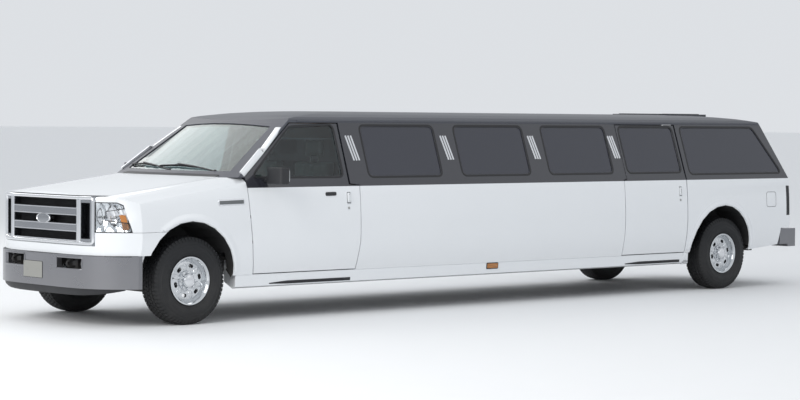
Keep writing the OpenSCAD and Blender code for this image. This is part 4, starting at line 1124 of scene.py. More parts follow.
    def _headlight(self, side: int) -> None:
        """Make one headlight: lens, bright housing, bowls, bulbs and the amber corner."""
        name = f"headlight_{SIDE_WORD[side]}"
        columns, rows = self.lamp_columns, 12
        grid = self._lamp_grid(side, columns, self.lamp_rows, 0.001)
        finish_mesh(name + "_lens", shape(self._add_sheet, grid, 0.0, self.lens_thickness), Finishes.LAMP_GLASS,
                    BODY, 50)
        wide = self._lamp_grid(side, columns, rows, 0.002)
        bowls = ((6, 5.2, 0.048), (16, 4.6, 0.040))
        middles = {6: 6.0, 16: 6.2}
        housing = []
        for r, line in enumerate(wide):
            row = []
            for c, (spot, normal) in enumerate(line):
                sink = 0.012 + 0.012 * min(1, min(r, rows - r, c, columns - c) / 1.5)
                for column, spread, deep in bowls:
                    away = math.hypot((c - column) / spread, (r - middles[column]) / 5.6)
                    sink += deep * (1 - away ** 2) if away < 1 else 0.0
                if c > 20:
                    sink += 0.006 * math.sin(c * 2.6)
                row.append((spot - normal * sink, normal))
            housing.append(row)
        finish_mesh(name + "_reflector", shape(self._add_sheet, housing, 0.0, 0.004), Finishes.CHROME, BODY, 40)
        corner = [line[21:26] for line in wide[1:8]]
        finish_mesh(name + "_turn_lens", shape(self._add_sheet, corner, 0.007, 0.012), Finishes.AMBER, BODY, 40)
        bulbs = bmesh.new()
        for column, _, _ in bowls:
            spot, normal = wide[6][column]
            add_lathe(bulbs, [(0.012, 0.0), (0.012, 0.010), (0.007, 0.013), (0.007, 0.032), (0.004, 0.038),
                              (0.0, 0.039)], spot - normal * 0.062, normal, 16)
        finish_mesh(name + "_bulbs", bulbs, Finishes.PALE_LENS, BODY)
        rim = [(-0.003, -0.012), (-0.003, 0.0012), (0.003, 0.0012), (0.003, -0.012)]
        finish_mesh(name + "_seal", shape(add_sweep, [grid[r][c] for r, c in self._border(grid)], rim, True),
                    Finishes.SEAL, BODY, 60)

    def _bumper(self) -> None:
        """Make the rubber strip, hook openings, hooks and the black apron under the bumper."""
        low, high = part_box("front_bumper")
        half = high.y - 0.045
        line = []
        for i in range(61):
            y = -half + 2 * half * i / 60
            line.append((Vector((self._front(self.bumper, y, high.z - 0.02)[0].x - 0.028, y, high.z)),
                         Vector((0, 0, 1))))
        strip = [(-0.022, -0.004), (-0.020, 0.0022), (0.020, 0.0022), (0.022, -0.004)]
        finish_mesh("front_bumper_pad", shape(add_sweep, line, strip), Finishes.BLACK_PLASTIC, BODY, 50)
        frames, hooks = bmesh.new(), bmesh.new()
        for side in SIDES:
            outline = rounded_outline(rectangle(side * 0.257, 0.515, side * 0.613, 0.627), 0.012, 3)
            add_sweep(frames, self._front_line(outline, self.bumper, 0.04),
                      [(-0.010, -0.02), (-0.010, 0.003), (-0.004, 0.006), (0.006, 0.004), (0.008, -0.02)], True)
            face = self._front(self.bumper, side * 0.24, 0.57)[0].x
            loop = [Vector((face - 0.050 + 0.060 * math.sin(math.pi * i / 16), side * 0.44,
                            0.570 + 0.030 * math.cos(math.pi * i / 16))) for i in range(17)]
            shank = Vector((0.10, 0, 0))
            add_tube(hooks, [loop[0] - shank] + loop + [loop[-1] - shank], 0.0105, 12)
            back, half_plate = Vector((face - 0.13, side * 0.435, 0.571)), Vector((0.006, 0.176, 0.055))
            add_block(hooks, back - half_plate, back + half_plate)
        finish_mesh("bumper_opening_frames", frames, Finishes.BUMPER_METAL, BODY, 50)
        finish_mesh("tow_hooks", hooks, Finishes.UNDER_BLACK, BODY, 40)
        rings = []
        for i in range(49):
            y = -0.90 + 1.80 * i / 48
            x = self._front(self.bumper, y, low.z + 0.03)[0].x - 0.022
            depth = 0.070 * (1 - 0.80 * (abs(y) / 0.90) ** 5)
            rings.append([Vector((x - back, y, low.z + up)) for back, up in (
                (0.0, 0.004), (0.006, -depth * 0.6), (0.030, -depth), (0.075, -depth), (0.075, 0.012 - depth),
                (0.034, 0.012 - depth), (0.030, 0.004))])
        finish_mesh("front_apron", shape(add_loft, rings), Finishes.BLACK_PLASTIC, BODY, 50, 0.003)

    def _plate(self) -> None:
        """Make the blank front plate, its holder and its bolts."""
        y, z = -0.118, 0.490
        face = self._front(self.bumper, y, z)[0].x + 0.0035
        outline = rounded_outline(rectangle(y - 0.155, z - 0.078, y + 0.155, z + 0.078), 0.012, 4)
        holder = shape(add_prism, [Vector((face - 0.006, a, b)) for a, b in outline], Vector((0.005, 0, 0)))
        finish_mesh("front_plate_holder", holder, Finishes.BLACK_PLASTIC, BODY, 40, 0.001)
        plate = shape(add_prism, [Vector((face - 0.001, a, b)) for a, b in grown(outline, -0.004)],
                      Vector((0.0022, 0, 0)))
        finish_mesh("front_plate", plate, Finishes.PLATE, BODY, 40, 0.0006)
        Repeater.piece("front_plate_bolts", shape(add_lathe, PLATE_BOLT, NO_MOVE, Vector((1, 0, 0)), 16), 2,
                       Finishes.STEEL, BODY, step=(0, PLATE_BOLTS_APART, 0),
                       place=moved(face + 0.0008, y - PLATE_BOLTS_APART / 2, z))

    def _cowl(self) -> None:
        """Make the black grille between hood and windshield."""
        cowl, glass = Skin("firewall"), Skin("windshield", "windshield_frame")
        rings = []
        for i in range(41):
            y = -0.735 + 1.47 * i / 40
            front_s = 0.495 - 0.27 * (1 - (y / 0.775) ** 2)
            front, _ = cowl.hit((at(front_s + 0.004), y, 2.2), (0, 0, -1))
            rear_x = glass.hit((at(0.2), y, 1.395), (-1, 0, 0))[0].x + 0.02
            rear = Vector((rear_x, y, max(front.z + 0.008, 1.360)))
            row = [front.lerp(rear, k / 7) + Vector((0, 0, 0.004 + 0.006 * math.sin(math.pi * k / 7)))
                   for k in range(8)]
            rings.append(row + [p - Vector((0, 0, 0.012)) for p in reversed(row)])
        finish_mesh("cowl_cover", shape(add_loft, rings), Finishes.BLACK_PLASTIC, BODY, 40)

    def _wipers(self) -> None:
        """Make two wiper arms with their blades."""
        glass = Skin("windshield")
        up = Vector((0.5, 0, 0.85))

        def on_glass(y: float, z: float, lift: float) -> Vector:
            """Return a point above the windshield."""
            spot, normal = glass.hit((at(-0.4), y, z), (-1, 0, 0))
            return spot + normal * lift

        arms, blades = bmesh.new(), bmesh.new()
        for pivot_y, tip_y in ((0.62, 0.10), (0.02, -0.52)):
            pivot = on_glass(pivot_y, 1.395, 0.012)
            pivot.z = 1.388
            tip = on_glass(tip_y, 1.425, 0.030)
            mid = (pivot + tip) / 2 + Vector((0.004, 0, 0.012))
            arm = [(pivot * (1 - t) ** 2 + mid * 2 * t * (1 - t) + tip * t * t, up)
                   for t in (i / 12 for i in range(13))]
            add_sweep(arms, arm, [(-0.008, -0.003), (-0.006, 0.004), (0.006, 0.004), (0.008, -0.003)])
            add_lathe(arms, [(0.017, -0.03), (0.017, 0.008), (0.012, 0.014), (0.0, 0.016)], pivot,
                      Vector((0.45, 0, 0.9)), 20)
            blade = [(on_glass(tip_y + 0.27 * (1 - i / 8), 1.412 + 0.012 * (1 - abs(i / 8 - 1)), 0.008), up)
                     for i in range(17)]
            add_sweep(blades, blade, [(-0.006, 0.008), (-0.004, 0.014), (0.004, 0.014), (0.006, 0.008),
                                      (0.0015, 0.003), (0.001, -0.006), (-0.001, -0.006), (-0.0015, 0.003)])
        finish_mesh("wiper_arms", arms, Finishes.BLACK_PLASTIC, BODY, 50)
        finish_mesh("wiper_blades", blades, Finishes.SEAL, BODY, 50)


# ---------------------------------------------------------------- body side
@dataclass
class SideTrim:
    """Seals, bright bars, drip rails, badges, markers and step pads of both sides."""

    bar_stations: tuple[float, ...] = (2.050, 3.320, 4.580, 5.816)
    bar_pitch: float = 0.034
    bar_low: float = 1.484
    bar_high: float = 1.724
    bar_lean: float = 0.050
    pane_pitch: float = 1.27167
    pane_start: float = 2.050

    def __post_init__(self) -> None:
        """Find the surfaces that the trim lies on."""
        self.body = Skin("side_panels", "quarter_panels", "front_fenders", "windshield_frame", "roof")
        self.rocker = Skin("rocker_panels")
        self.doors = {side: Skin(f"front_door_{SIDE_WORD[side]}", f"rear_door_{SIDE_WORD[side]}") for side in SIDES}

    def build(self) -> None:
        """Make the trim of both sides."""
        for side in SIDES:
            self._window_seals(side)
            self._bars(side)
            self._drip_rail(side)
            self._fender_badge(side)
            self._rocker(side)
            self._fuel_door(side)
            self._arch_lips(side)
            self._pillar_strip(side)

    def seal(self, name: str, skin: Skin, outline: Points, side: int, body: str) -> None:
        """Make the dark rubber surround of one pane.

        Args:
            name: Name of the piece.
            skin: Panel round the pane.
            outline: (station, z) corners of the pane.
            side: Which side.
            body: Body it rides on.
        """
        line = skin.line(grown(rounded_outline(outline, 0.05, 6), 0.012), side, 0.06)
        band = [(-0.011, -0.006), (-0.0105, 0.0010), (-0.006, 0.0022), (0.004, 0.0022), (0.0105, 0.0006),
                (0.0125, -0.004), (0.0125, -0.0072), (0.004, -0.008)]
        work = shape(add_sweep, line, band, True)
        finish_mesh(name, work, Finishes.SEAL, body, 45)

    def _window_seals(self, side: int) -> None:
        """Make the surrounds of every pane on one side."""
        word = SIDE_WORD[side]
        for i in range(3):
            low = self.pane_start + self.pane_pitch * i + 0.155
            high = self.pane_start + self.pane_pitch * (i + 1) - 0.150
            self.seal(f"pane_seal_{i + 1}_{word}", self.body,
                      [(low, 1.335), (low, 1.814), (high, 1.814), (high, 1.335)], side, BODY)
        self.seal(f"quarter_seal_{word}", self.body,
                  [(6.986, 1.313), (6.986, 1.814), (8.250, 1.814), (8.582, 1.313)], side, BODY)
        self.seal(f"rear_door_seal_{word}", self.doors[side],
                  [(5.964, 1.335), (5.964, 1.814), (6.831, 1.814), (6.831, 1.335)], side, f"rear_door_{word}")
        self.seal(f"front_door_seal_{word}", self.doors[side],
                  [(0.755, 1.347), (1.309, 1.800), (1.846, 1.824), (1.852, 1.339)], side, f"front_door_{word}")

    def _bars(self, side: int) -> None:
        """Make the three-bar bright groups on the pillars of one side."""
        for k, station in enumerate(self.bar_stations):
            work = bmesh.new()
            for i in (-1, 0, 1):
                line = []
                for j in range(9):
                    t = j / 8
                    s = station + i * self.bar_pitch + self.bar_lean * (0.5 - t)
                    line.append(self.body.rim(at(s), self.bar_low + (self.bar_high - self.bar_low) * t, side))
                add_sweep(work, line, [(-0.010, -0.003), (-0.0095, 0.004), (-0.0055, 0.0080),
                                                (0.0055, 0.0080), (0.0095, 0.004), (0.010, -0.003)])
            finish_mesh(f"pillar_bars_{k + 1}_{SIDE_WORD[side]}", work, Finishes.CHROME, BODY, 50)

    def _drip_rail(self, side: int) -> None:
        """Make the rain rail along the edge of the roof."""
        line = []
        for i in range(90):
            s = 1.42 + (8.36 - 1.42) * i / 89
            line.append(self.body.rim(at(s), 1.862, side))
        work = shape(add_sweep, line, [(-0.011, -0.005), (-0.009, 0.006), (-0.004, 0.0095), (0.001, 0.006),
                                        (0.006, 0.0045), (0.010, -0.004)])
        finish_mesh(f"drip_rail_{SIDE_WORD[side]}", work, Finishes.ROOF_PAINT, BODY, 50)

    def plate(self, name: str, skin: Skin, outline: Points, side: int, proud: float, finish: Finish,
              body: str, round_by: float = 0.012, sunk: float = 0.004) -> None:
        """Make a raised plate that follows a side.

        Args:
            name: Name of the piece.
            skin: Surface below it.
            outline: (station, z) corners.
            side: Which side.
            proud: Height above the surface.
            finish: Its material.
            body: Body it rides on.
            round_by: Corner radius.
            sunk: Depth of its back below the surface.
        """
        rings = []
        outline = rounded_outline(outline, round_by, 5)
        for shrink, height in ((0.0, -sunk), (0.0, proud * 0.45), (-proud * 0.35, proud * 0.85), (-proud, proud)):
            ring = []
            for station, z in resampled(grown(outline, shrink), 0.08):
                spot, normal = skin.side(at(station), z, side)
                ring.append(spot + Vector((0, normal.y, normal.z)).normalized() * height)
            rings.append(ring)
        count = min(len(ring) for ring in rings)
        if any(len(ring) != count for ring in rings):
            base = resampled(outline, 0.08)
            middle = (sum(p[0] for p in base) / len(base), sum(p[1] for p in base) / len(base))
            rings = []
            for shrink, height in ((1.0, -sunk), (1.0, proud * 0.45), (0.985, proud * 0.85), (0.96, proud)):
                ring = []
                for station, z in base:
                    station, z = (middle[0] + (station - middle[0]) * shrink, middle[1] + (z - middle[1]) * shrink)
                    spot, normal = skin.side(at(station), z, side)
                    ring.append(spot + Vector((0, normal.y, normal.z)).normalized() * height)
                rings.append(ring)
        work = shape(add_loft, [ring for ring in rings])
        finish_mesh(name, work, finish, body, 35)

    def _fender_badge(self, side: int) -> None:
        """Make the blank bright badge on the fender."""
        word = SIDE_WORD[side]
        box = [(0.303, 1.081), (0.608, 1.086), (0.608, 1.140), (0.303, 1.135)]
        self.plate(f"fender_badge_{word}", self.body, box, side, 0.005, Finishes.CHROME, BODY)
        inner = [(0.312, 1.090), (0.599, 1.094), (0.599, 1.132), (0.312, 1.127)]
        self.plate(f"fender_badge_face_{word}", self.body, inner, side, 0.0062, Finishes.GREY_PLASTIC, BODY, 0.007)

    def _rocker(self, side: int) -> None:
        """Make the step pads, the amber marker and the flare at the end of the rocker."""
        word = SIDE_WORD[side]
        for name, low, high in (("front", 0.951, 1.963), ("rear", 5.932, 6.830)):
            outline = [(low, 0.334), (low + 0.22, 0.327), (high, 0.327), (high, 0.357), (low + 0.22, 0.357),
                       (low, 0.342)]
            self.plate(f"{name}_step_pad_{word}", self.rocker, outline, side, 0.007, Finishes.BLACK_PLASTIC, BODY,
                       0.006)
            spot, _ = self.rocker.side(at(low + 0.3), 0.342, side)
            rib = shape(add_block, (-0.0035, -0.0012, -0.011), (0.0035, 0.0012, 0.011))
            Repeater.piece(f"{name}_step_ribs_{word}", rib, int((high - low - 0.32) / 0.02), Finishes.BLACK_PLASTIC,
                           BODY, step=(-0.02, 0, 0),
                           place=moved(at(low + 0.27), spot.y + side * 0.0076, 0.342))
        box = rectangle(3.816, 0.362, 3.985, 0.428)
        self.plate(f"side_marker_base_{word}", self.rocker, box, side, 0.006, Finishes.BLACK_PLASTIC, BODY, 0.014)
        box = rectangle(3.824, 0.370, 3.977, 0.420)
        self.plate(f"side_marker_lens_{word}", self.rocker, box, side, 0.012, Finishes.AMBER, BODY, 0.012)
        flare = [(6.872, 0.308), (6.972, 0.308), (6.972, 0.45), (6.93, 0.50), (6.90, 0.42)]
        self.plate(f"rocker_flare_{word}", self.rocker, flare, side, 0.016, Finishes.WHITE_PAINT, BODY, 0.010)

    def _fuel_door(self, side: int) -> None:
        """Make the outline of the fuel door on the left side."""
        if side < 0:
            return
        outline = rounded_outline(rectangle(8.285, 0.915, 8.455, 1.085), 0.03, 6)
        work = shape(add_sweep, self.body.line(outline, side, 0.03),
                [(-0.0022, -0.003), (-0.0022, 0.0005), (0.0022, 0.0005), (0.0022, -0.003)],
                  True)
        finish_mesh("fuel_door_gap", work, Finishes.SEAL, BODY, 45)
        lid = grown(outline, -0.004)
        self.plate("fuel_door", self.body, lid, side, 0.0016, Finishes.WHITE_PAINT, BODY, 0.001)

    def _pillar_strip(self, side: int) -> None:
        """Make the white strip along the outside of the windshield pillar."""
        line = []
        for i in range(25):
            z = 1.366 + (1.800 - 1.366) * i / 24
            s = 0.640 + (z - 1.345) * 1.335 - 0.046
            line.append(self.body.side(at(s), z, side))
        work = shape(add_sweep, line, [(-0.032, -0.012), (-0.031, 0.0015), (-0.028, 0.003), (0.028, 0.003),
                                        (0.031, 0.0015), (0.032, -0.012)])
        finish_mesh(f"pillar_strip_{SIDE_WORD[side]}", work, Finishes.WHITE_PAINT, BODY, 45)

    def _arch_lips(self, side: int) -> None:
        """Make the white flare and the dark liner edge of each wheel arch."""
        for name, middle, ahead, behind in (("front", FRONT_X, 0.520, 0.516), ("rear", REAR_X, 0.560, 0.475)):
            line = []
            for i in range(49):
                angle = math.radians(1 + 178 * i / 48)
                wide = ahead if math.cos(angle) > 0 else behind
                x, z = middle + wide * math.cos(angle), AXLE_Z + 0.546 * math.sin(angle)
                spot, _ = self.body.side(x + 0.012 * math.cos(angle), z + 0.012 * math.sin(angle), side)
                line.append((Vector((x - 0.005 * math.cos(angle), spot.y, z - 0.005 * math.sin(angle))),
                             Vector((0, side, 0))))
            work = shape(add_sweep, line, [(-0.004, -0.10), (-0.004, -0.006), (-0.001, -0.003), (0.004, -0.004),
                                            (0.006, -0.10)])
            finish_mesh(f"{name}_liner_edge_{SIDE_WORD[side]}", work, Finishes.UNDER_BLACK, BODY, 45)
            rings = []
            for i in range(57):
                angle = math.radians(6 + 168 * i / 56)
                wide = ahead if math.cos(angle) > 0 else behind
                out = Vector((math.cos(angle), 0, math.sin(angle)))
                edge = Vector((middle + wide * out.x, 0, AXLE_Z + 0.546 * out.z))
                ring = []
                for away, proud in ((0.003, -0.004), (0.003, 0.004), (0.007, 0.0075), (0.026, 0.008),
                                    (0.042, 0.0055), (0.056, 0.0022), (0.070, 0.0002), (0.070, -0.004)):
                    probe = edge + out * away
                    spot, normal = self.body.side(probe.x, probe.z, side)
                    ring.append(Vector((probe.x, spot.y + side * proud, probe.z)))
                rings.append(ring)
            lip = shape(add_loft, rings)
            finish_mesh(f"{name}_arch_flare_{SIDE_WORD[side]}", lip, Finishes.WHITE_PAINT, BODY, 50)


@dataclass
class DoorTrim:
    """Handles, mirrors and inner trim of the doors."""

    trim: SideTrim

    def build(self) -> None:
        """Make the fittings of every door."""
        for side in SIDES:
            self._outside(side)
            self._mirror(side)
            self._inside(side, "front", [(0.86, 0.52), (0.80, 0.90), (0.86, 1.20), (1.86, 1.22), (1.96, 1.10),
                                         (1.96, 0.52)])
            self._inside(side, "rear", [(5.97, 0.52), (5.97, 1.22), (6.78, 1.22), (6.82, 1.10), (6.82, 0.52)])

    def _outside(self, side: int) -> None:
        """Make the flap handles, each with a grey plate of painted shadow round it, the locks and the dark oval."""
        word = SIDE_WORD[side]
        skin, plate = self.trim.doors[side], self.trim.plate
        body = f"front_door_{word}"
        oval = [(1.602, 1.150), (1.738, 1.152), (1.738, 1.188), (1.602, 1.186)]
        plate(f"front_pull_{word}", skin, oval, side, 0.009, Finishes.BLACK_PLASTIC, body, 0.017)
        paddle = rectangle(1.858, 1.066, 1.926, 1.190)
        plate(f"front_handle_base_{word}", skin, paddle, side, 0.0045, Finishes.WHITE_PAINT, body, 0.016)
        # Grey plate round the front flap handle: painted shadow of the flap.
        plate(f"front_handle_painted_shadow_{word}", skin, grown(paddle, -0.010), side, 0.0052, Finishes.GREY_PLASTIC, body,
              0.010)
        plate(f"front_handle_{word}", skin, rectangle(1.874, 1.084, 1.912, 1.176), side,
              0.017, Finishes.WHITE_PAINT, body, 0.012)
        body = f"rear_door_{word}"
        rear = rectangle(6.742, 1.058, 6.804, 1.176)
        plate(f"rear_handle_base_{word}", skin, rear, side, 0.0045, Finishes.WHITE_PAINT, body, 0.016)
        # Grey plate round the rear flap handle: painted shadow of the flap.
        plate(f"rear_handle_painted_shadow_{word}", skin, grown(rear, -0.010), side, 0.0052, Finishes.GREY_PLASTIC, body,
              0.010)
        plate(f"rear_handle_{word}", skin, rectangle(6.756, 1.074, 6.790, 1.160), side,
              0.017, Finishes.WHITE_PAINT, body, 0.011)
        for name, station, z, owner in (("front", 1.892, 1.030, f"front_door_{word}"),
                                        ("rear", 6.773, 1.020, f"rear_door_{word}")):
            spot, normal = skin.side(at(station), z, side)
            lock = shape(add_lathe, [(0.013, -0.003), (0.013, 0.002), (0.0105, 0.0042), (0.0075, 0.0044), (0.007, 0.003),
                             (0.0, 0.003)], spot, normal, 24)
            finish_mesh(f"{name}_lock_{word}", lock, Finishes.STEEL, owner)

    def _mirror(self, side: int) -> None:
        """Make the mirror housing with its glass."""
        word = SIDE_WORD[side]
        node, body = f"mirror_{word}", f"front_door_{word}"
        rounded_copy(node, Finishes.BLACK_PLASTIC, body, 0.016, steps=4, smooth=40)
        low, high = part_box(node)
        inner = 1.035
        outer = max(abs(low.y), abs(high.y))
        back = low.x
        outline = rounded_outline(rectangle(inner + 0.022, 1.297, outer - 0.020, 1.408), 0.018, 5)
        rings = []
        for shrink, out in ((0.0, -0.003), (0.0, 0.0012), (-0.002, 0.0026), (-0.004, 0.003)):
            rings.append([Vector((back - out, side * y, z)) for y, z in grown(outline, shrink)])
        glass = shape(add_loft, rings)
        finish_mesh(f"mirror_glass_{word}", glass, Finishes.MIRROR, body)

    def _inside(self, side: int, end: str, outline: Points) -> None:
        """Make the padded inner panel, armrest and pocket of one door.

        Args:
            side: Which side.
            end: Front or rear.
            outline: (station, z) corners.
        """
        word = SIDE_WORD[side]
        body = f"{end}_door_{word}"
        skin = self.trim.doors[side]
        rounded = rounded_outline(outline, 0.05, 6)

        def sheet(name: str, corners: Points, height: float, finish: Finish, crown: float) -> None:
            """Make a pad on the inner face of the door."""
            base = resampled(corners, 0.06)
            middle = (sum(p[0] for p in base) / len(base), sum(p[1] for p in base) / len(base))
            rings = []
            for scale, lift in ((1.0, 0.0), (1.0, height * 0.6), (0.985, height), (0.93, height + crown * 0.6),
                                (0.70, height + crown), (0.35, height + crown)):
                ring = []
                for s, z in base:
                    s, z = middle[0] + (s - middle[0]) * scale, middle[1] + (z - middle[1]) * scale
                    spot, _ = skin.hit((at(s), 0.2 * side, z), (0, side, 0))
                    depth = max(0.80, min(abs(spot.y), 0.94))
                    ring.append(Vector((at(s), side * (depth + 0.004 - lift), z)))
                rings.append(ring)
            work = shape(add_loft, rings)
            finish_mesh(name, work, finish, body, 40)

        sheet(f"{end}_trim_panel_{word}", rounded, 0.008, Finishes.GREY_PLASTIC, 0.003)
        low, high = min(p[0] for p in outline) + 0.12, max(p[0] for p in outline) - 0.10
        soft = rounded_outline(rectangle(low, 0.90, high, 1.13), 0.05, 6)
        sheet(f"{end}_trim_pad_{word}", soft, 0.014, Finishes.LEATHER, 0.008)
        rest = rounded_outline(rectangle(low + 0.06, 0.815, high, 0.872), 0.026, 6)
        sheet(f"{end}_armrest_{word}", rest, 0.036, Finishes.DASH, 0.006)
        pocket = rounded_outline(rectangle(low, 0.60, high, 0.70), 0.03, 6)
        sheet(f"{end}_door_pocket_{word}", pocket, 0.024, Finishes.BLACK_PLASTIC, 0.002)


# ---------------------------------------------------------------- rear end
@dataclass
class RearEnd:
    """Tail lights, door handles, wiper, plate, step pad and roof hatch frame."""

    trim: SideTrim

    def __post_init__(self) -> None:
        """Find the surfaces that the details lie on."""
        self.gate = Skin("liftgate", "liftgate_glass")
        self.doors = Skin("cargo_door_left", "cargo_door_right")
        self.bumper = Skin("rear_bumper")
        self.roof = Skin("roof", "roof_glass")

    def build(self) -> None:
        """Make every rear detail."""
        lenses = [self._tail_light(side) for side in SIDES]
        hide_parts("tail_lights")
        self._handles()
        self._gate()
        self._plate_and_pad()
        self._hatch()

    def _tail_light(self, side: int) -> bpy.types.Object:
        """Make one tail light with its red, clear and red lenses.

        Args:
            side: Which side.

        Returns:
            The main red lens.
        """
        word = SIDE_WORD[side]
        low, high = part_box("tail_lights")
        lamp = Skin("tail_lights")
        pieces = (("upper", 0.60, 1.0, Finishes.RED_LENS), ("middle", 0.40, 0.60, Finishes.PALE_LENS),
                  ("lower", 0.0, 0.40, Finishes.RED_LENS))
        made = None
        for name, start, end, finish in pieces:
            z0 = low.z + (high.z - low.z) * start + 0.001
            z1 = low.z + (high.z - low.z) * end - 0.001
            rings = []
            for j in range(7):
                z = z0 + (z1 - z0) * j / 6
                outer, _ = lamp.side((low.x + high.x) / 2 - 0.01, z, side)
                y_out = abs(outer.y)
                corner = [(low.x + 0.016, 0.918), (low.x + 0.016, y_out - 0.006), (low.x + 0.008, y_out - 0.006),
                          (low.x + 0.002, y_out - 0.012), (low.x + 0.0005, y_out - 0.024),
                          (low.x + 0.0, 0.96), (low.x + 0.002, 0.926), (low.x + 0.006, 0.918)]
                rings.append([Vector((x, side * y, z)) for x, y in corner])
            work = shape(add_loft, rings)
            piece = finish_mesh(f"tail_light_{name}_{word}", work, finish, BODY, 40, 0.003)
            made = made or piece
        rings = []
        for j in range(9):
            z = low.z + (high.z - low.z) * j / 8
            outer, _ = lamp.side((low.x + high.x) / 2 - 0.01, z, side)
            rings.append([Vector((x, side * y, z)) for x, y in (
                (high.x - 0.001, 0.914), (high.x - 0.001, abs(outer.y) - 0.0005),
                (low.x + 0.009, abs(outer.y) - 0.0005), (low.x + 0.009, 0.914))])
        bezel = shape(add_loft, rings)
        finish_mesh(f"tail_light_bezel_{word}", bezel, Finishes.BLACK_PLASTIC, BODY, 40)
        rib = shape(add_block, (-0.0012, -0.030, -0.0016), (0.0008, 0.030, 0.0016))
        Repeater.piece(f"tail_light_ribs_{word}", rib, 20, Finishes.RED_LENS, BODY, step=(0, 0, 0.0155),
                       place=moved(low.x + 0.0008, side * 0.952, low.z + 0.026))
        return made

    def _handles(self) -> None:
        """Make the cargo door handles and hinge caps."""
        low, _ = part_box("cargo_door_left")
        for side in SIDES:
            word = SIDE_WORD[side]
            body = f"cargo_door_{word}"
            spot, _ = self.doors.hit((low.x - 0.5, side * 0.13, 1.02), (1, 0, 0))
            outline = rounded_outline(rectangle(0.05, 0.985, 0.21, 1.055), 0.02, 5)
            rings = [[Vector((spot.x - out, side * y, z)) for y, z in grown(outline, shrink)]
                     for shrink, out in ((0.0, -0.003), (0.0, 0.004), (-0.003, 0.006), (-0.012, 0.006),
                                         (-0.014, 0.003))]
            work = shape(add_loft, rings)
            finish_mesh(f"cargo_handle_base_{word}", work, Finishes.BLACK_PLASTIC, body, 40)
            outline = rounded_outline(rectangle(0.07, 1.000, 0.19, 1.032), 0.012, 5)
            rings = [[Vector((spot.x - out, side * y, z)) for y, z in grown(outline, shrink)]
                     for shrink, out in ((0.0, 0.001), (0.0, 0.013), (-0.004, 0.017))]
            grip = shape(add_loft, rings)
            finish_mesh(f"cargo_handle_{word}", grip, Finishes.WHITE_PAINT, body, 40)
            hinge = shape(add_lathe, [(0.011, 0.0), (0.011, 0.07), (0.009, 0.073), (0.0, 0.074)], NO_MOVE,
                      Vector((0, 0, 1)), 16)
            Repeater.piece(f"cargo_hinge_caps_{word}", hinge, 2, Finishes.WHITE_PAINT, body, step=(0, 0, 0.30),
                           place=moved(spot.x - 0.003, side * 0.846, 0.72))

    def _gate(self) -> None:
        """Make the liftgate seal, stop lamp, handle and wiper."""
        low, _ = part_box("liftgate")

        def on_gate(y: float, z: float, lift: float) -> tuple[Vector, Vector]:
            """Return a point above the liftgate and its normal."""
            spot, normal = self.gate.hit((low.x - 0.6, y, z), (1, 0, 0))
            return spot + normal * lift, normal

        glass_low, glass_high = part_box("liftgate_glass")
        outline = rounded_outline([(-0.806, glass_low.z - 0.006), (0.806, glass_low.z - 0.006),
                                   (0.646, glass_high.z + 0.006), (-0.646, glass_high.z + 0.006)], 0.05, 6)
        frame_skin = Skin("liftgate")
        line = []
        for y, z in resampled(grown(outline, 0.014), 0.05):
            line.append(frame_skin.hit((low.x - 0.6, y, z), (1, 0, 0)))
        seal = shape(add_sweep, line, [(-0.012, -0.006), (-0.011, 0.002), (0.006, 0.0025), (0.012, -0.002),
                                        (0.012, -0.007)], True)
        finish_mesh("liftgate_seal", seal, Finishes.SEAL, "liftgate", 45)
        spots = [on_gate(-0.17 + 0.34 * i / 12, glass_high.z + 0.045, 0.0) for i in range(13)]
        lamp = shape(add_sweep, spots,
                  [(-0.012, -0.003), (-0.011, 0.006), (-0.006, 0.010), (0.006, 0.010), (0.011, 0.006),
                   (0.012, -0.003)])
        finish_mesh("stop_lamp", lamp, Finishes.RED_LENS, "liftgate", 45)
        wiper = bmesh.new()
        pivot, normal = on_gate(0.0, glass_low.z + 0.045, 0.002)
        add_lathe(wiper, [(0.022, -0.004), (0.022, 0.012), (0.016, 0.020), (0.0, 0.022)], pivot, normal, 24)
        arm = [on_gate(0.32 * t, glass_low.z + 0.045 + 0.012 * t, 0.016)[0] for t in (0, 0.25, 0.5, 0.75, 1.0)]
        add_sweep(wiper, [(p, normal) for p in arm],
                [(-0.007, -0.003), (-0.005, 0.004), (0.005, 0.004), (0.007, -0.003)])
        blade = [on_gate(0.10 + 0.42 * t / 8, glass_low.z + 0.052, 0.009)[0] for t in range(9)]
        add_sweep(wiper, [(p, normal) for p in blade],
                [(-0.005, -0.002), (-0.004, 0.005), (0.004, 0.005), (0.005, -0.002)])
        finish_mesh("rear_wiper", wiper, Finishes.BLACK_PLASTIC, "liftgate", 45)
        spots = [on_gate(-0.13 + 0.26 * i / 10, glass_low.z - 0.040, 0.0) for i in range(11)]
        pull = shape(add_sweep, spots,
                  [(-0.014, -0.003), (-0.012, 0.008), (-0.004, 0.014), (0.006, 0.012), (0.012, -0.003)])
        finish_mesh("liftgate_pull", pull, Finishes.BLACK_PLASTIC, "liftgate", 45)

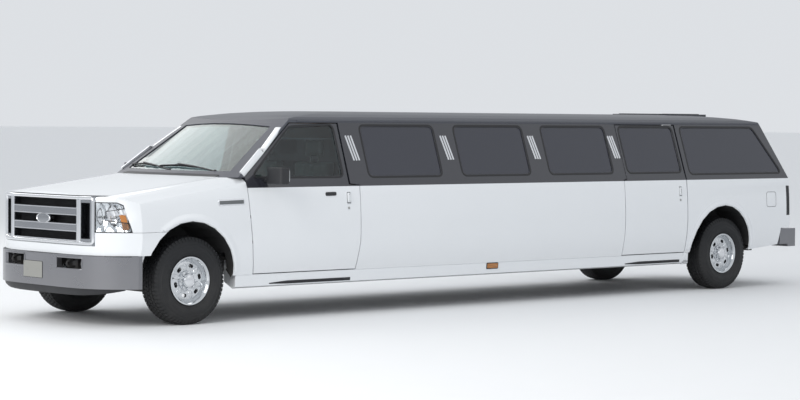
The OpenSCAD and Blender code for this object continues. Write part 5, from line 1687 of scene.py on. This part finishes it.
    def _plate_and_pad(self) -> None:
        """Make the rear plate, its holder and bolts, and the bumper's tread pad."""
        low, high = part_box("rear_bumper")
        spot, _ = self.bumper.hit((low.x - 0.5, 0.0, 0.56), (1, 0, 0))
        face = spot.x
        outline = rounded_outline(rectangle(-0.165, 0.472, 0.165, 0.648), 0.012, 4)
        holder = shape(add_prism, [Vector((face - 0.004, y, z)) for y, z in outline], Vector((0.006, 0, 0)))
        finish_mesh("rear_plate_holder", holder, Finishes.BLACK_PLASTIC, BODY, 40, 0.001)
        outline = rounded_outline(rectangle(-0.152, 0.484, 0.152, 0.636), 0.010, 4)
        plate = shape(add_prism, [Vector((face - 0.0062, y, z)) for y, z in outline], Vector((0.003, 0, 0)))
        finish_mesh("rear_plate", plate, Finishes.PLATE, BODY, 40, 0.0006)
        bolt = shape(add_lathe, PLATE_BOLT, NO_MOVE,
                  Vector((-1, 0, 0)), 16)
        Repeater.piece("rear_plate_bolts", bolt, 2, Finishes.STEEL, BODY, step=(0, PLATE_BOLTS_APART, 0),
                       place=moved(face - 0.006, -PLATE_BOLTS_APART / 2, 0.56))
        outline = rounded_outline(rectangle(low.x + 0.014, -0.86, high.x - 0.05, 0.86), 0.02, 4)
        pad = shape(add_prism, [Vector((x, y, high.z - 0.003)) for x, y in outline], Vector((0, 0, 0.006)))
        finish_mesh("rear_step_pad", pad, Finishes.BLACK_PLASTIC, BODY, 40, 0.0015)
        rib = shape(add_block, (-0.036, -0.003, 0.0), (0.030, 0.003, 0.0022))
        Repeater.piece("rear_step_ribs", rib, 84, Finishes.BLACK_PLASTIC, BODY, step=(0, 0.02, 0),
                       place=moved(low.x + 0.056, -0.83, high.z + 0.0026))

    def _hatch(self) -> None:
        """Make the raised frame of the roof hatch."""
        outline = rounded_outline(rectangle(-0.34, 7.225, 0.34, 7.865), 0.05, 6)
        line = []
        for y, station in resampled(outline, 0.08):
            spot, _ = self.roof.hit((at(station), y, 2.5), (0, 0, -1))
            line.append((spot, Vector((0, 0, 1))))
        work = shape(add_sweep, line,
                  [(-0.014, -0.004), (-0.012, 0.004), (-0.005, 0.0065), (0.005, 0.0065), (0.012, 0.004),
                   (0.014, -0.004)], True)
        finish_mesh("roof_hatch_frame", work, Finishes.BLACK_PLASTIC, BODY, 45)


# ---------------------------------------------------------------- cabin
class Cushions:
    """Makes crowned leather pads with cloth under pressure."""

    VOXEL = 0.011
    CAP = 0.022
    FRAMES = 20

    @classmethod
    def pad(cls, work: bmesh.types.BMesh, name: str) -> bpy.types.Mesh:
        """Return the inflated mesh of a soft block.

        Args:
            work: Its slack shape, which is freed.
            name: Name for the scratch object.

        Returns:
            The settled mesh.
        """
        bmesh.ops.recalc_face_normals(work, faces=work.faces)
        mesh = bpy.data.meshes.new(name + "_slack")
        work.to_mesh(mesh)
        work.free()
        soft = bpy.data.objects.new(name + "_slack", mesh)
        bpy.context.scene.collection.objects.link(soft)
        rounder = soft.modifiers.new("round", "BEVEL")
        rounder.width = 0.020
        rounder.segments = 3
        remesh = soft.modifiers.new("remesh", "REMESH")
        remesh.mode = "VOXEL"
        remesh.voxel_size = cls.VOXEL
        ready = soft.evaluated_get(bpy.context.evaluated_depsgraph_get())
        start = bpy.data.meshes.new_from_object(ready)
        soft.modifiers.clear()
        soft.data = start
        before = [v.co.copy() for v in start.vertices]
        cloth = soft.modifiers.new("cloth", "CLOTH")
        cloth.settings.use_pressure = True
        cloth.settings.uniform_pressure_force = 4.0
        cloth.settings.quality = 5
        cloth.settings.effector_weights.gravity = 0.0
        cloth.collision_settings.use_collision = False
        scene = bpy.context.scene
        for number in range(1, cls.FRAMES + 1):
            scene.frame_set(number)
        ready = soft.evaluated_get(bpy.context.evaluated_depsgraph_get())
        settled = bpy.data.meshes.new_from_object(ready)
        soft.modifiers.clear()
        for vertex, old in zip(settled.vertices, before):
            move = vertex.co - old
            if move.length > cls.CAP:
                vertex.co = old + move.normalized() * cls.CAP
        scene.frame_set(1)
        bpy.data.objects.remove(soft)
        return settled

    @staticmethod
    def channels(mesh: bpy.types.Mesh, axis: int, pitch: float, depth: float, face: Vector,
                 inset: float = 0.0) -> None:
        """Press sewn channels into a settled pad.

        Args:
            mesh: The pad.
            axis: Coordinate that the channels repeat along.
            pitch: Distance from one to the next.
            depth: How deep they are.
            face: Direction of the sewn face.
            inset: Distance from the pad's sides that stays smooth.
        """
        mesh.update()
        low = min(v.co[axis] for v in mesh.vertices) + inset
        high = max(v.co[axis] for v in mesh.vertices) - inset
        count = max(2, round((high - low) / pitch))
        step = (high - low) / count
        normals = [n.vector.copy() for n in mesh.vertex_normals]
        for vertex, normal in zip(mesh.vertices, normals):
            facing = normal.dot(face)
            if facing < 0.35 or not low < vertex.co[axis] < high:
                continue
            part = (vertex.co[axis] - low) / step
            away = abs(part - round(part)) * step
            if round(part) in (0, count):
                continue
            vertex.co -= normal * depth * math.exp(-(away / 0.010) ** 2) * min(1.0, (facing - 0.35) * 3)

    @staticmethod
    def finished(mesh: bpy.types.Mesh, name: str, place: Matrix, body: str, fill: float) -> bpy.types.Object:
        """Place a settled pad as a finished padded piece.

        Args:
            mesh: The pad, which is copied.
            name: Name of the piece.
            place: Where it goes.
            body: Body it rides on.
            fill: How tight it is; not used.

        Returns:
            The finished piece.
        """
        data = mesh.copy()
        data.transform(place)
        if place.determinant() < 0:
            data.flip_normals()
        data.materials.clear()
        data.materials.append(Finishes.LEATHER.material())
        data.polygons.foreach_set("use_smooth", [True] * len(data.polygons))
        piece = bpy.data.objects.new(name, data)
        bpy.context.scene.collection.objects.link(piece)
        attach(piece, body)
        return piece


@dataclass
class Interior:
    """Dashboard, steering wheel, seats, partition, lining and lights."""

    floor: float = 0.60
    seat_y: float = 0.390
    bench_modules: int = 5
    bench_start: float = 2.50
    bench_end: float = 5.70

    def build(self) -> None:
        """Make the whole cabin."""
        self._dashboard()
        self._steering_wheel()
        self._front_seats()
        self._lounge()
        self._partition()
        self._lining()

    def _dashboard(self) -> None:
        """Make the dashboard with its gauges, vents, screen and knobs."""
        rounded_copy("dashboard", Finishes.DASH, BODY, 0.018, steps=4, smooth=40)
        skin = Skin("dashboard")

        def face(y: float, z: float, lift: float = 0.0) -> Vector:
            """Return a point on the side that faces the driver."""
            spot, normal = skin.hit((at(1.6), y, z), (1, 0, 0))
            return spot + normal * lift

        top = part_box("dashboard")[1].z
        rings = []
        for i in range(9):
            y = self.seat_y - 0.19 + 0.38 * i / 8
            rise = 0.034 * (1 - (2 * i / 8 - 1) ** 4)
            rings.append([Vector((at(0.63), y, top - 0.012)), Vector((at(0.845), y, top - 0.014)),
                                         Vector((at(0.845), y, top + rise - 0.004)),
                                         Vector((at(0.80), y, top + rise)), Vector((at(0.66), y, top - 0.002))])
        hood = shape(add_loft, rings)
        finish_mesh("gauge_hood", hood, Finishes.DASH, BODY, 50, 0.003)
        for name, y, radius in (("speed", self.seat_y + 0.07, 0.058), ("engine", self.seat_y - 0.07, 0.058),
                                ("fuel", self.seat_y + 0.165, 0.028), ("heat", self.seat_y - 0.165, 0.028)):
            dial = shape(add_lathe, [(radius, -0.006), (radius, 0.006), (radius * 0.92, 0.007), (radius * 0.90, 0.003),
                             (radius * 0.10, 0.003), (radius * 0.09, 0.007), (0.0, 0.007)],
                      face(y, 1.235), Vector((-0.93, 0, 0.36)), 32)
            finish_mesh(f"gauge_{name}", dial, Finishes.SCREEN, BODY)
        outline = rounded_outline(rectangle(-0.13, 1.075, 0.13, 1.235), 0.02, 4)
        rings = [[face(y, z, out) for y, z in grown(outline, shrink)]
                 for shrink, out in ((0.0, -0.004), (0.0, 0.006), (-0.004, 0.009))]
        panel = shape(add_loft, rings)
        finish_mesh("radio_panel", panel, Finishes.BLACK_PLASTIC, BODY, 40)
        outline = rectangle(-0.085, 1.150, 0.085, 1.222)
        rings = [[face(y, z, out) for y, z in outline] for out in (0.006, 0.0105)]
        screen = shape(add_loft, rings)
        finish_mesh("radio_screen", screen, Finishes.SCREEN, BODY)
        knob = shape(add_lathe, [(0.014, 0.0), (0.013, 0.016), (0.011, 0.018), (0.0, 0.0185)], NO_MOVE,
                  Vector((-0.93, 0, 0.36)), 20)
        Repeater.piece("dash_knobs", knob, 4, Finishes.GREY_PLASTIC, BODY, step=(0, 0.055, 0),
                       place=Matrix.Translation(face(-0.0825, 1.105, 0.006)))
        for k, y in enumerate((-0.66, -0.22, 0.20, 0.66)):
            vane = shape(add_block, (-0.012, -0.055, -0.0016), (0.004, 0.055, 0.0016))
            Repeater.piece(f"dash_vent_{k + 1}", vane, 6, Finishes.BLACK_PLASTIC, BODY, step=(0.004, 0, 0.011),
                           place=Matrix.Translation(face(y, 1.160, 0.004)))

    def _steering_wheel(self) -> None:
        """Make the steering wheel with its padded hub."""
        rounded_copy("steering_wheel", Finishes.BLACK_PLASTIC, BODY, 0.004, steps=3, smooth=40)
        axis = Vector((-math.sin(math.radians(62)), 0, math.cos(math.radians(62))))
        centre = Vector((at(1.050), self.seat_y, 1.150))
        hub = shape(add_lathe, [(0.062, 0.0), (0.066, 0.012), (0.062, 0.024), (0.045, 0.032), (0.020, 0.035),
                        (0.0, 0.0355)], centre, axis, 40)
        finish_mesh("steering_hub", hub, Finishes.DASH, BODY, 50)

    @staticmethod
    def _soft_box(low: Sequence[float], high: Sequence[float], lean: float = 0.0) -> bmesh.types.BMesh:
        """Return a block whose top may lean back.

        Args:
            low: Lowest corner.
            high: Highest corner.
            lean: How far the top is behind the bottom.
        """
        rings = []
        for z, shift in ((low[2], 0.0), (high[2], -lean)):
            rings.append([Vector((x + shift, y, z)) for x, y in (
                (low[0], low[1]), (high[0], low[1]), (high[0], high[1]), (low[0], high[1]))])
        work = shape(add_loft, rings)
        return work

    def _front_seats(self) -> None:
        """Make both front seats from settled pads, with bases, rails and headrest posts."""
        half = 0.252
        cushion = Cushions.pad(self._soft_box((at(1.952), -half, 0.792), (at(1.330), half, 0.926)), "cushion")
        Cushions.channels(cushion, 1, 0.085, 0.010, Vector((0, 0, 1)), 0.085)
        back = Cushions.pad(self._soft_box((at(1.966), -half, 0.956), (at(1.842), half, 1.478), 0.082), "back")
        Cushions.channels(back, 1, 0.085, 0.010, Vector((1, 0, 0)), 0.085)
        rest = Cushions.pad(self._soft_box((at(2.002), -0.122, 1.520), (at(1.944), 0.122, 1.676), 0.006), "rest")
        base = bmesh.new()
        for side in SIDES:
            y = side * self.seat_y
            add_block(base, (at(1.845), y - 0.19, 0.625), (at(1.385), y + 0.19, 0.785))
            for rail in SIDES:
                add_block(base, (at(1.86), y + rail * 0.17 - 0.018, 0.600), (at(1.36), y + rail * 0.17 + 0.018,
                                                                            0.628))
        frame_piece = finish_mesh("front_seat_bases", base, Finishes.GREY_PLASTIC, BODY, 40, 0.008)
        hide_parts("front_seats")
        posts = bmesh.new()
        for side in SIDES:
            word = SIDE_WORD[side]
            place = moved(0, side * self.seat_y, 0)
            Cushions.finished(cushion, f"front_seat_cushion_{word}", place, BODY, 0.8)
            Cushions.finished(back, f"front_seat_back_{word}", place, BODY, 0.8)
            Cushions.finished(rest, f"front_headrest_{word}", place, BODY, 0.9)
            for k in SIDES:
                y = side * self.seat_y + k * 0.06
                add_tube(posts, [Vector((at(1.972), y, 1.44)), Vector((at(1.974), y, 1.50)),
                                 Vector((at(1.975), y, 1.56))], 0.006, 10)
        finish_mesh("headrest_posts", posts, Finishes.STEEL, BODY)
        console = shape(add_block, (at(1.80), -0.115, self.floor + 0.004), (at(1.02), 0.115, 0.86))
        finish_mesh("centre_console", console, Finishes.DASH, BODY, 40, 0.02, 3)
        lid = shape(add_block, (at(1.79), -0.108, 0.862), (at(1.36), 0.108, 0.892))
        finish_mesh("console_lid", lid, Finishes.LEATHER, BODY, 40, 0.012, 3)

    def _lounge(self) -> None:
        """Make the side bench and the rear bench from settled pads."""
        length = (self.bench_end - self.bench_start) / self.bench_modules
        half = length / 2 - 0.010
        seat = Cushions.pad(self._soft_box((-half, -0.640, 0.872), (half, -0.318, 0.996)), "bench_seat")
        Cushions.channels(seat, 0, 0.105, 0.009, Vector((0, 0, 1)), 0.05)
        rings = []
        for x in (-half, half):
            rings.append([Vector((x, y, z)) for y, z in (
                (-0.842, 1.030), (-0.842, 1.225), (-0.772, 1.258), (-0.706, 1.225), (-0.682, 1.030))])
        low = shape(add_loft, rings)
        back = Cushions.pad(low, "bench_back")
        Cushions.channels(back, 0, 0.105, 0.009, Vector((0, 1, 0)), 0.05)
        base = shape(add_prism, [Vector((at(self.bench_end), y, z)) for y, z in (
            (-0.86, 0.604), (-0.86, 1.02), (-0.662, 1.02), (-0.662, 0.862), (-0.318, 0.862), (-0.318, 0.604))],
            Vector((self.bench_end - self.bench_start, 0, 0)))
        base_piece = finish_mesh("side_bench_base", base, Finishes.CARPET, BODY, 40, 0.010)
        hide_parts("lounge_seats")
        for i in range(self.bench_modules):
            place = moved(at(self.bench_start + length * (i + 0.5)), 0, 0)
            Cushions.finished(seat, f"side_bench_cushion_{i + 1}", place, BODY, 0.8)
            Cushions.finished(back, f"side_bench_back_{i + 1}", place, BODY, 0.7)
        third = 1.24 / 3
        wide = third / 2 - 0.008
        seat = Cushions.pad(self._soft_box((at(7.838), -wide, 0.936), (at(7.136), wide, 1.066)), "rear_seat")
        Cushions.channels(seat, 1, 0.10, 0.009, Vector((0, 0, 1)), 0.04)
        back = Cushions.pad(self._soft_box((at(7.814), -wide, 1.094), (at(7.690), wide, 1.578), 0.070), "rear_back")
        Cushions.channels(back, 1, 0.10, 0.009, Vector((1, 0, 0)), 0.04)
        for i in (-1, 0, 1):
            place = moved(0, i * third, 0)
            Cushions.finished(seat, f"rear_bench_cushion_{i + 2}", place, BODY, 0.8)
            Cushions.finished(back, f"rear_bench_back_{i + 2}", place, BODY, 0.7)
        plinth = shape(add_block, (at(7.84), -0.612, 0.772), (at(7.15), 0.612, 0.926))
        finish_mesh("rear_bench_base", plinth, Finishes.CARPET, BODY, 40, 0.008)

    def _partition(self) -> None:
        """Make the glass and trim of the partition."""
        low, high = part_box("partition")
        x = (low.x + high.x) / 2
        pane = shape(add_block, (x - 0.003, -0.559, 1.301), (x + 0.003, 0.559, 1.679))
        finish_mesh("partition_pane", pane, Finishes.DARK_GLASS, BODY)
        trim = bmesh.new()
        outline = rounded_outline(rectangle(-0.565, 1.295, 0.565, 1.685), 0.012, 3)
        for face in (low.x, high.x):
            out = 1 if face == high.x else -1
            add_sweep(trim, [(Vector((face, y, z)), Vector((out, 0, 0))) for y, z in resampled(outline, 0.2)],
                      [(-0.008, -0.003), (-0.007, 0.004), (0.007, 0.004), (0.008, -0.003)], True)
        finish_mesh("partition_trim", trim, Finishes.SATIN_CHROME, BODY, 40)

    def _lining(self) -> None:
        """Make the headliner, its row of lamps and the carpet."""
        roof = Skin("roof")
        rings = []
        for i in range(31):
            x = at(1.75 + (8.0 - 1.75) * i / 30)
            row = []
            for j in range(13):
                y = -0.56 + 1.12 * j / 12
                spot, _ = roof.hit((x, y, 1.5), (0, 0, 1))
                row.append(Vector((x, y, min(spot.z, 1.93) - 0.007)))
            rings.append(row + [p - Vector((0, 0, 0.008)) for p in reversed(row)])
        work = shape(add_loft, rings)
        finish_mesh("headliner", work, Finishes.HEADLINER, BODY, 40)
        lamp = shape(add_lathe, [(0.030, 0.0), (0.032, 0.008), (0.028, 0.012), (0.024, 0.010), (0.0, 0.012)],
                  NO_MOVE, Vector((0, 0, -1)), 24)
        spot, _ = roof.hit((at(3.0), 0.5, 1.5), (0, 0, 1))
        Repeater.piece("ceiling_lamps", lamp, 9, Finishes.PALE_LENS, BODY, step=(-0.5, 0, 0),
                       place=moved(at(2.6), 0.48, spot.z - 0.016))
        carpet = shape(add_block, (at(6.70), -0.29, self.floor + 0.001), (at(2.16), 0.84, self.floor + 0.010))
        finish_mesh("lounge_carpet", carpet, Finishes.CARPET, BODY, 40, 0.002)
        front = bmesh.new()
        add_block(front, (at(2.10), -0.80, self.floor + 0.001), (at(1.87), 0.80, self.floor + 0.010))
        add_block(front, (at(1.30), -0.80, self.floor + 0.001), (at(0.62), 0.80, self.floor + 0.010))
        finish_mesh("front_carpet", front, Finishes.CARPET, BODY, 40, 0.002)


# ---------------------------------------------------------------- engine bay and underside
@dataclass
class Machinery:
    """Dressing of the engine bay and of the underside."""

    def build(self) -> None:
        """Make the dressing."""
        self._engine()
        self._underside()

    def _engine(self) -> None:
        """Make rocker covers, intake and radiator fins."""
        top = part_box("engine")[1].z
        covers = bmesh.new()
        for side in SIDES:
            add_block(covers, (at(0.30), side * 0.19 - 0.075, top + 0.001), (at(-0.44), side * 0.19 + 0.075,
                                                                            top + 0.055))
        finish_mesh("rocker_covers", covers, Finishes.CAST_IRON, BODY, 40, 0.014, 3)
        intake = shape(add_block, (at(0.24), -0.095, top + 0.001), (at(-0.40), 0.095, top + 0.075))
        finish_mesh("intake_cover", intake, Finishes.BLACK_PLASTIC, BODY, 40, 0.018, 3)
        rib = shape(add_block, (-0.004, -0.085, 0.0), (0.004, 0.085, 0.010))
        Repeater.piece("intake_ribs", rib, 14, Finishes.BLACK_PLASTIC, BODY, step=(0.04, 0, 0),
                       place=moved(at(0.19), 0, top + 0.073))
        bolt = shape(add_lathe, [(0.009, 0.0), (0.009, 0.008), (0.0, 0.009)], NO_MOVE, Vector((0, 0, 1)), 6)
        for side in SIDES:
            Repeater.piece(f"cover_bolts_{SIDE_WORD[side]}", bolt.copy(), 6, Finishes.STEEL, BODY,
                           step=(0.13, 0, 0), place=moved(at(0.26), side * 0.19, top + 0.054))
        bolt.free()
        fin_low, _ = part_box("radiator_support")
        core = shape(add_block, (-0.005, -0.33, -0.0012), (0.005, 0.33, 0.0012))
        Repeater.piece("radiator_fins", core, 40, Finishes.STEEL, BODY, step=(0, 0, 0.009),
                       place=moved(fin_low.x + 0.012, 0, 0.70))

    def _underside(self) -> None:
        """Make rail rivets and fuel tank straps."""
        _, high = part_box("frame_rails")
        rivet = shape(add_lathe, [(0.011, -0.001), (0.009, 0.004), (0.004, 0.006), (0.0, 0.0062)], NO_MOVE,
                  Vector((0, 1, 0)), 10)
        for side in SIDES:
            Repeater.piece(f"rail_rivets_{SIDE_WORD[side]}", rivet.copy(), 28, Finishes.FRAME_PAINT, BODY,
                           step=(-0.18, 0, 0),
                           place=moved(at(1.0), side * high.y, 0.50)
                           @ Matrix.Diagonal((1, side, 1, 1)))
        rivet.free()
        tank_low, tank_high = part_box("fuel_tank")
        strap = bmesh.new()
        add_block(strap, (-0.018, tank_low.y - 0.003, tank_low.z - 0.003),
                  (0.018, tank_high.y + 0.003, tank_low.z + 0.001))
        add_block(strap, (-0.018, tank_low.y - 0.003, tank_low.z - 0.002), (0.018, tank_low.y, tank_high.z))
        add_block(strap, (-0.018, tank_high.y, tank_low.z - 0.002), (0.018, tank_high.y + 0.003, tank_high.z))
        Repeater.piece("tank_straps", strap, 2, Finishes.STEEL, BODY, step=(0.5, 0, 0),
                       place=moved((tank_low.x + tank_high.x) / 2 - 0.25, 0, 0))


# ---------------------------------------------------------------- studio
@dataclass
class Studio:
    """Floor, lights and camera."""

    lens: float = 103.91
    eye: tuple[float, float, float] = (12.7845, 17.73393, 1.91663)
    turn: tuple[float, float, float] = (-0.00902, 0.03619, -2.31311)

    def build(self) -> None:
        """Make the floor, the lights and the camera."""
        self._floor()
        self._lights()
        self._camera()

    def _floor(self) -> None:
        """Make the pale floor."""
        work = bmesh.new()
        size = 260.0
        corners = [Vector((x * size, y * size, 0)) for x, y in ((-1, -1), (1, -1), (1, 1), (-1, 1))]
        add_prism(work, [c - Vector((0, 0, 0.02)) for c in corners], Vector((0, 0, 0.02)))
        mesh = bpy.data.meshes.new("studio_floor")
        bmesh.ops.recalc_face_normals(work, faces=work.faces)
        work.to_mesh(mesh)
        work.free()
        floor = bpy.data.objects.new("studio_floor", mesh)
        mesh.materials.append(Finishes.FLOOR.material())
        bpy.context.scene.collection.objects.link(floor)

    def _lights(self) -> None:
        """Make the soft sky and three broad lamps."""
        world = bpy.context.scene.world or bpy.data.worlds.new("studio_sky")
        bpy.context.scene.world = world
        world.use_nodes = True
        sky = world.node_tree.nodes["Background"]
        sky.inputs["Color"].default_value = (0.93, 0.96, 1.0, 1.0)
        sky.inputs["Strength"].default_value = 0.78
        middle = (CAD_BOX[0] + CAD_BOX[1]) / 2
        lamps = (("key_lamp", (15.0, 4.0, 8.0), 8.0, 1100.0), ("side_lamp", (-4.0, 14.0, 8.0), 9.0, 60.0),
                 ("far_lamp", (2.0, -10.0, 10.0), 10.0, 420.0))
        for name, spot, size, power in lamps:
            data = bpy.data.lights.new(name, "AREA")
            data.size = size
            data.energy = power
            data.color = (1.0, 0.985, 0.96)
            lamp = bpy.data.objects.new(name, data)
            bpy.context.scene.collection.objects.link(lamp)
            lamp.location = spot
            lamp.rotation_euler = (middle - Vector(spot)).to_track_quat("-Z", "Y").to_euler()

    def _camera(self) -> None:
        """Place the camera."""
        data = bpy.data.cameras.new("studio_camera")
        data.lens = self.lens
        data.sensor_width = 36.0
        data.clip_end = 600.0
        camera = bpy.data.objects.new("studio_camera", data)
        bpy.context.scene.collection.objects.link(camera)
        roll, pitch, yaw = self.turn
        pose = (Matrix.Rotation(yaw, 3, "Z") @ Matrix.Rotation(pitch, 3, "Y") @ Matrix.Rotation(roll, 3, "X"))
        forward, left, up = pose.col[0], pose.col[1], pose.col[2]
        axes = Matrix((-left, up, -forward)).transposed().to_4x4()
        camera.matrix_world = Matrix.Translation(Vector(self.eye) + Vector((FRONT_X, 0, 0))) @ axes
        bpy.context.scene.camera = camera
        bpy.context.scene.view_settings.view_transform = "Standard"


def main() -> None:
    """Build every sub-assembly, then the studio."""
    logging.basicConfig(level=logging.INFO, format="%(message)s")
    panels = Panels()
    panels.build()
    panels.dress_nodes()
    for end in ("front", "rear"):
        for side in SIDES:
            RoadWheel(end, side).build()
    trim = SideTrim()
    for assembly in (FrontEnd(), trim, DoorTrim(trim), RearEnd(trim), Interior(), Machinery()):
        assembly.build()
        LOG.info("%s is built", type(assembly).__name__)
    Studio().build()


if __name__ == "__main__":
    main()
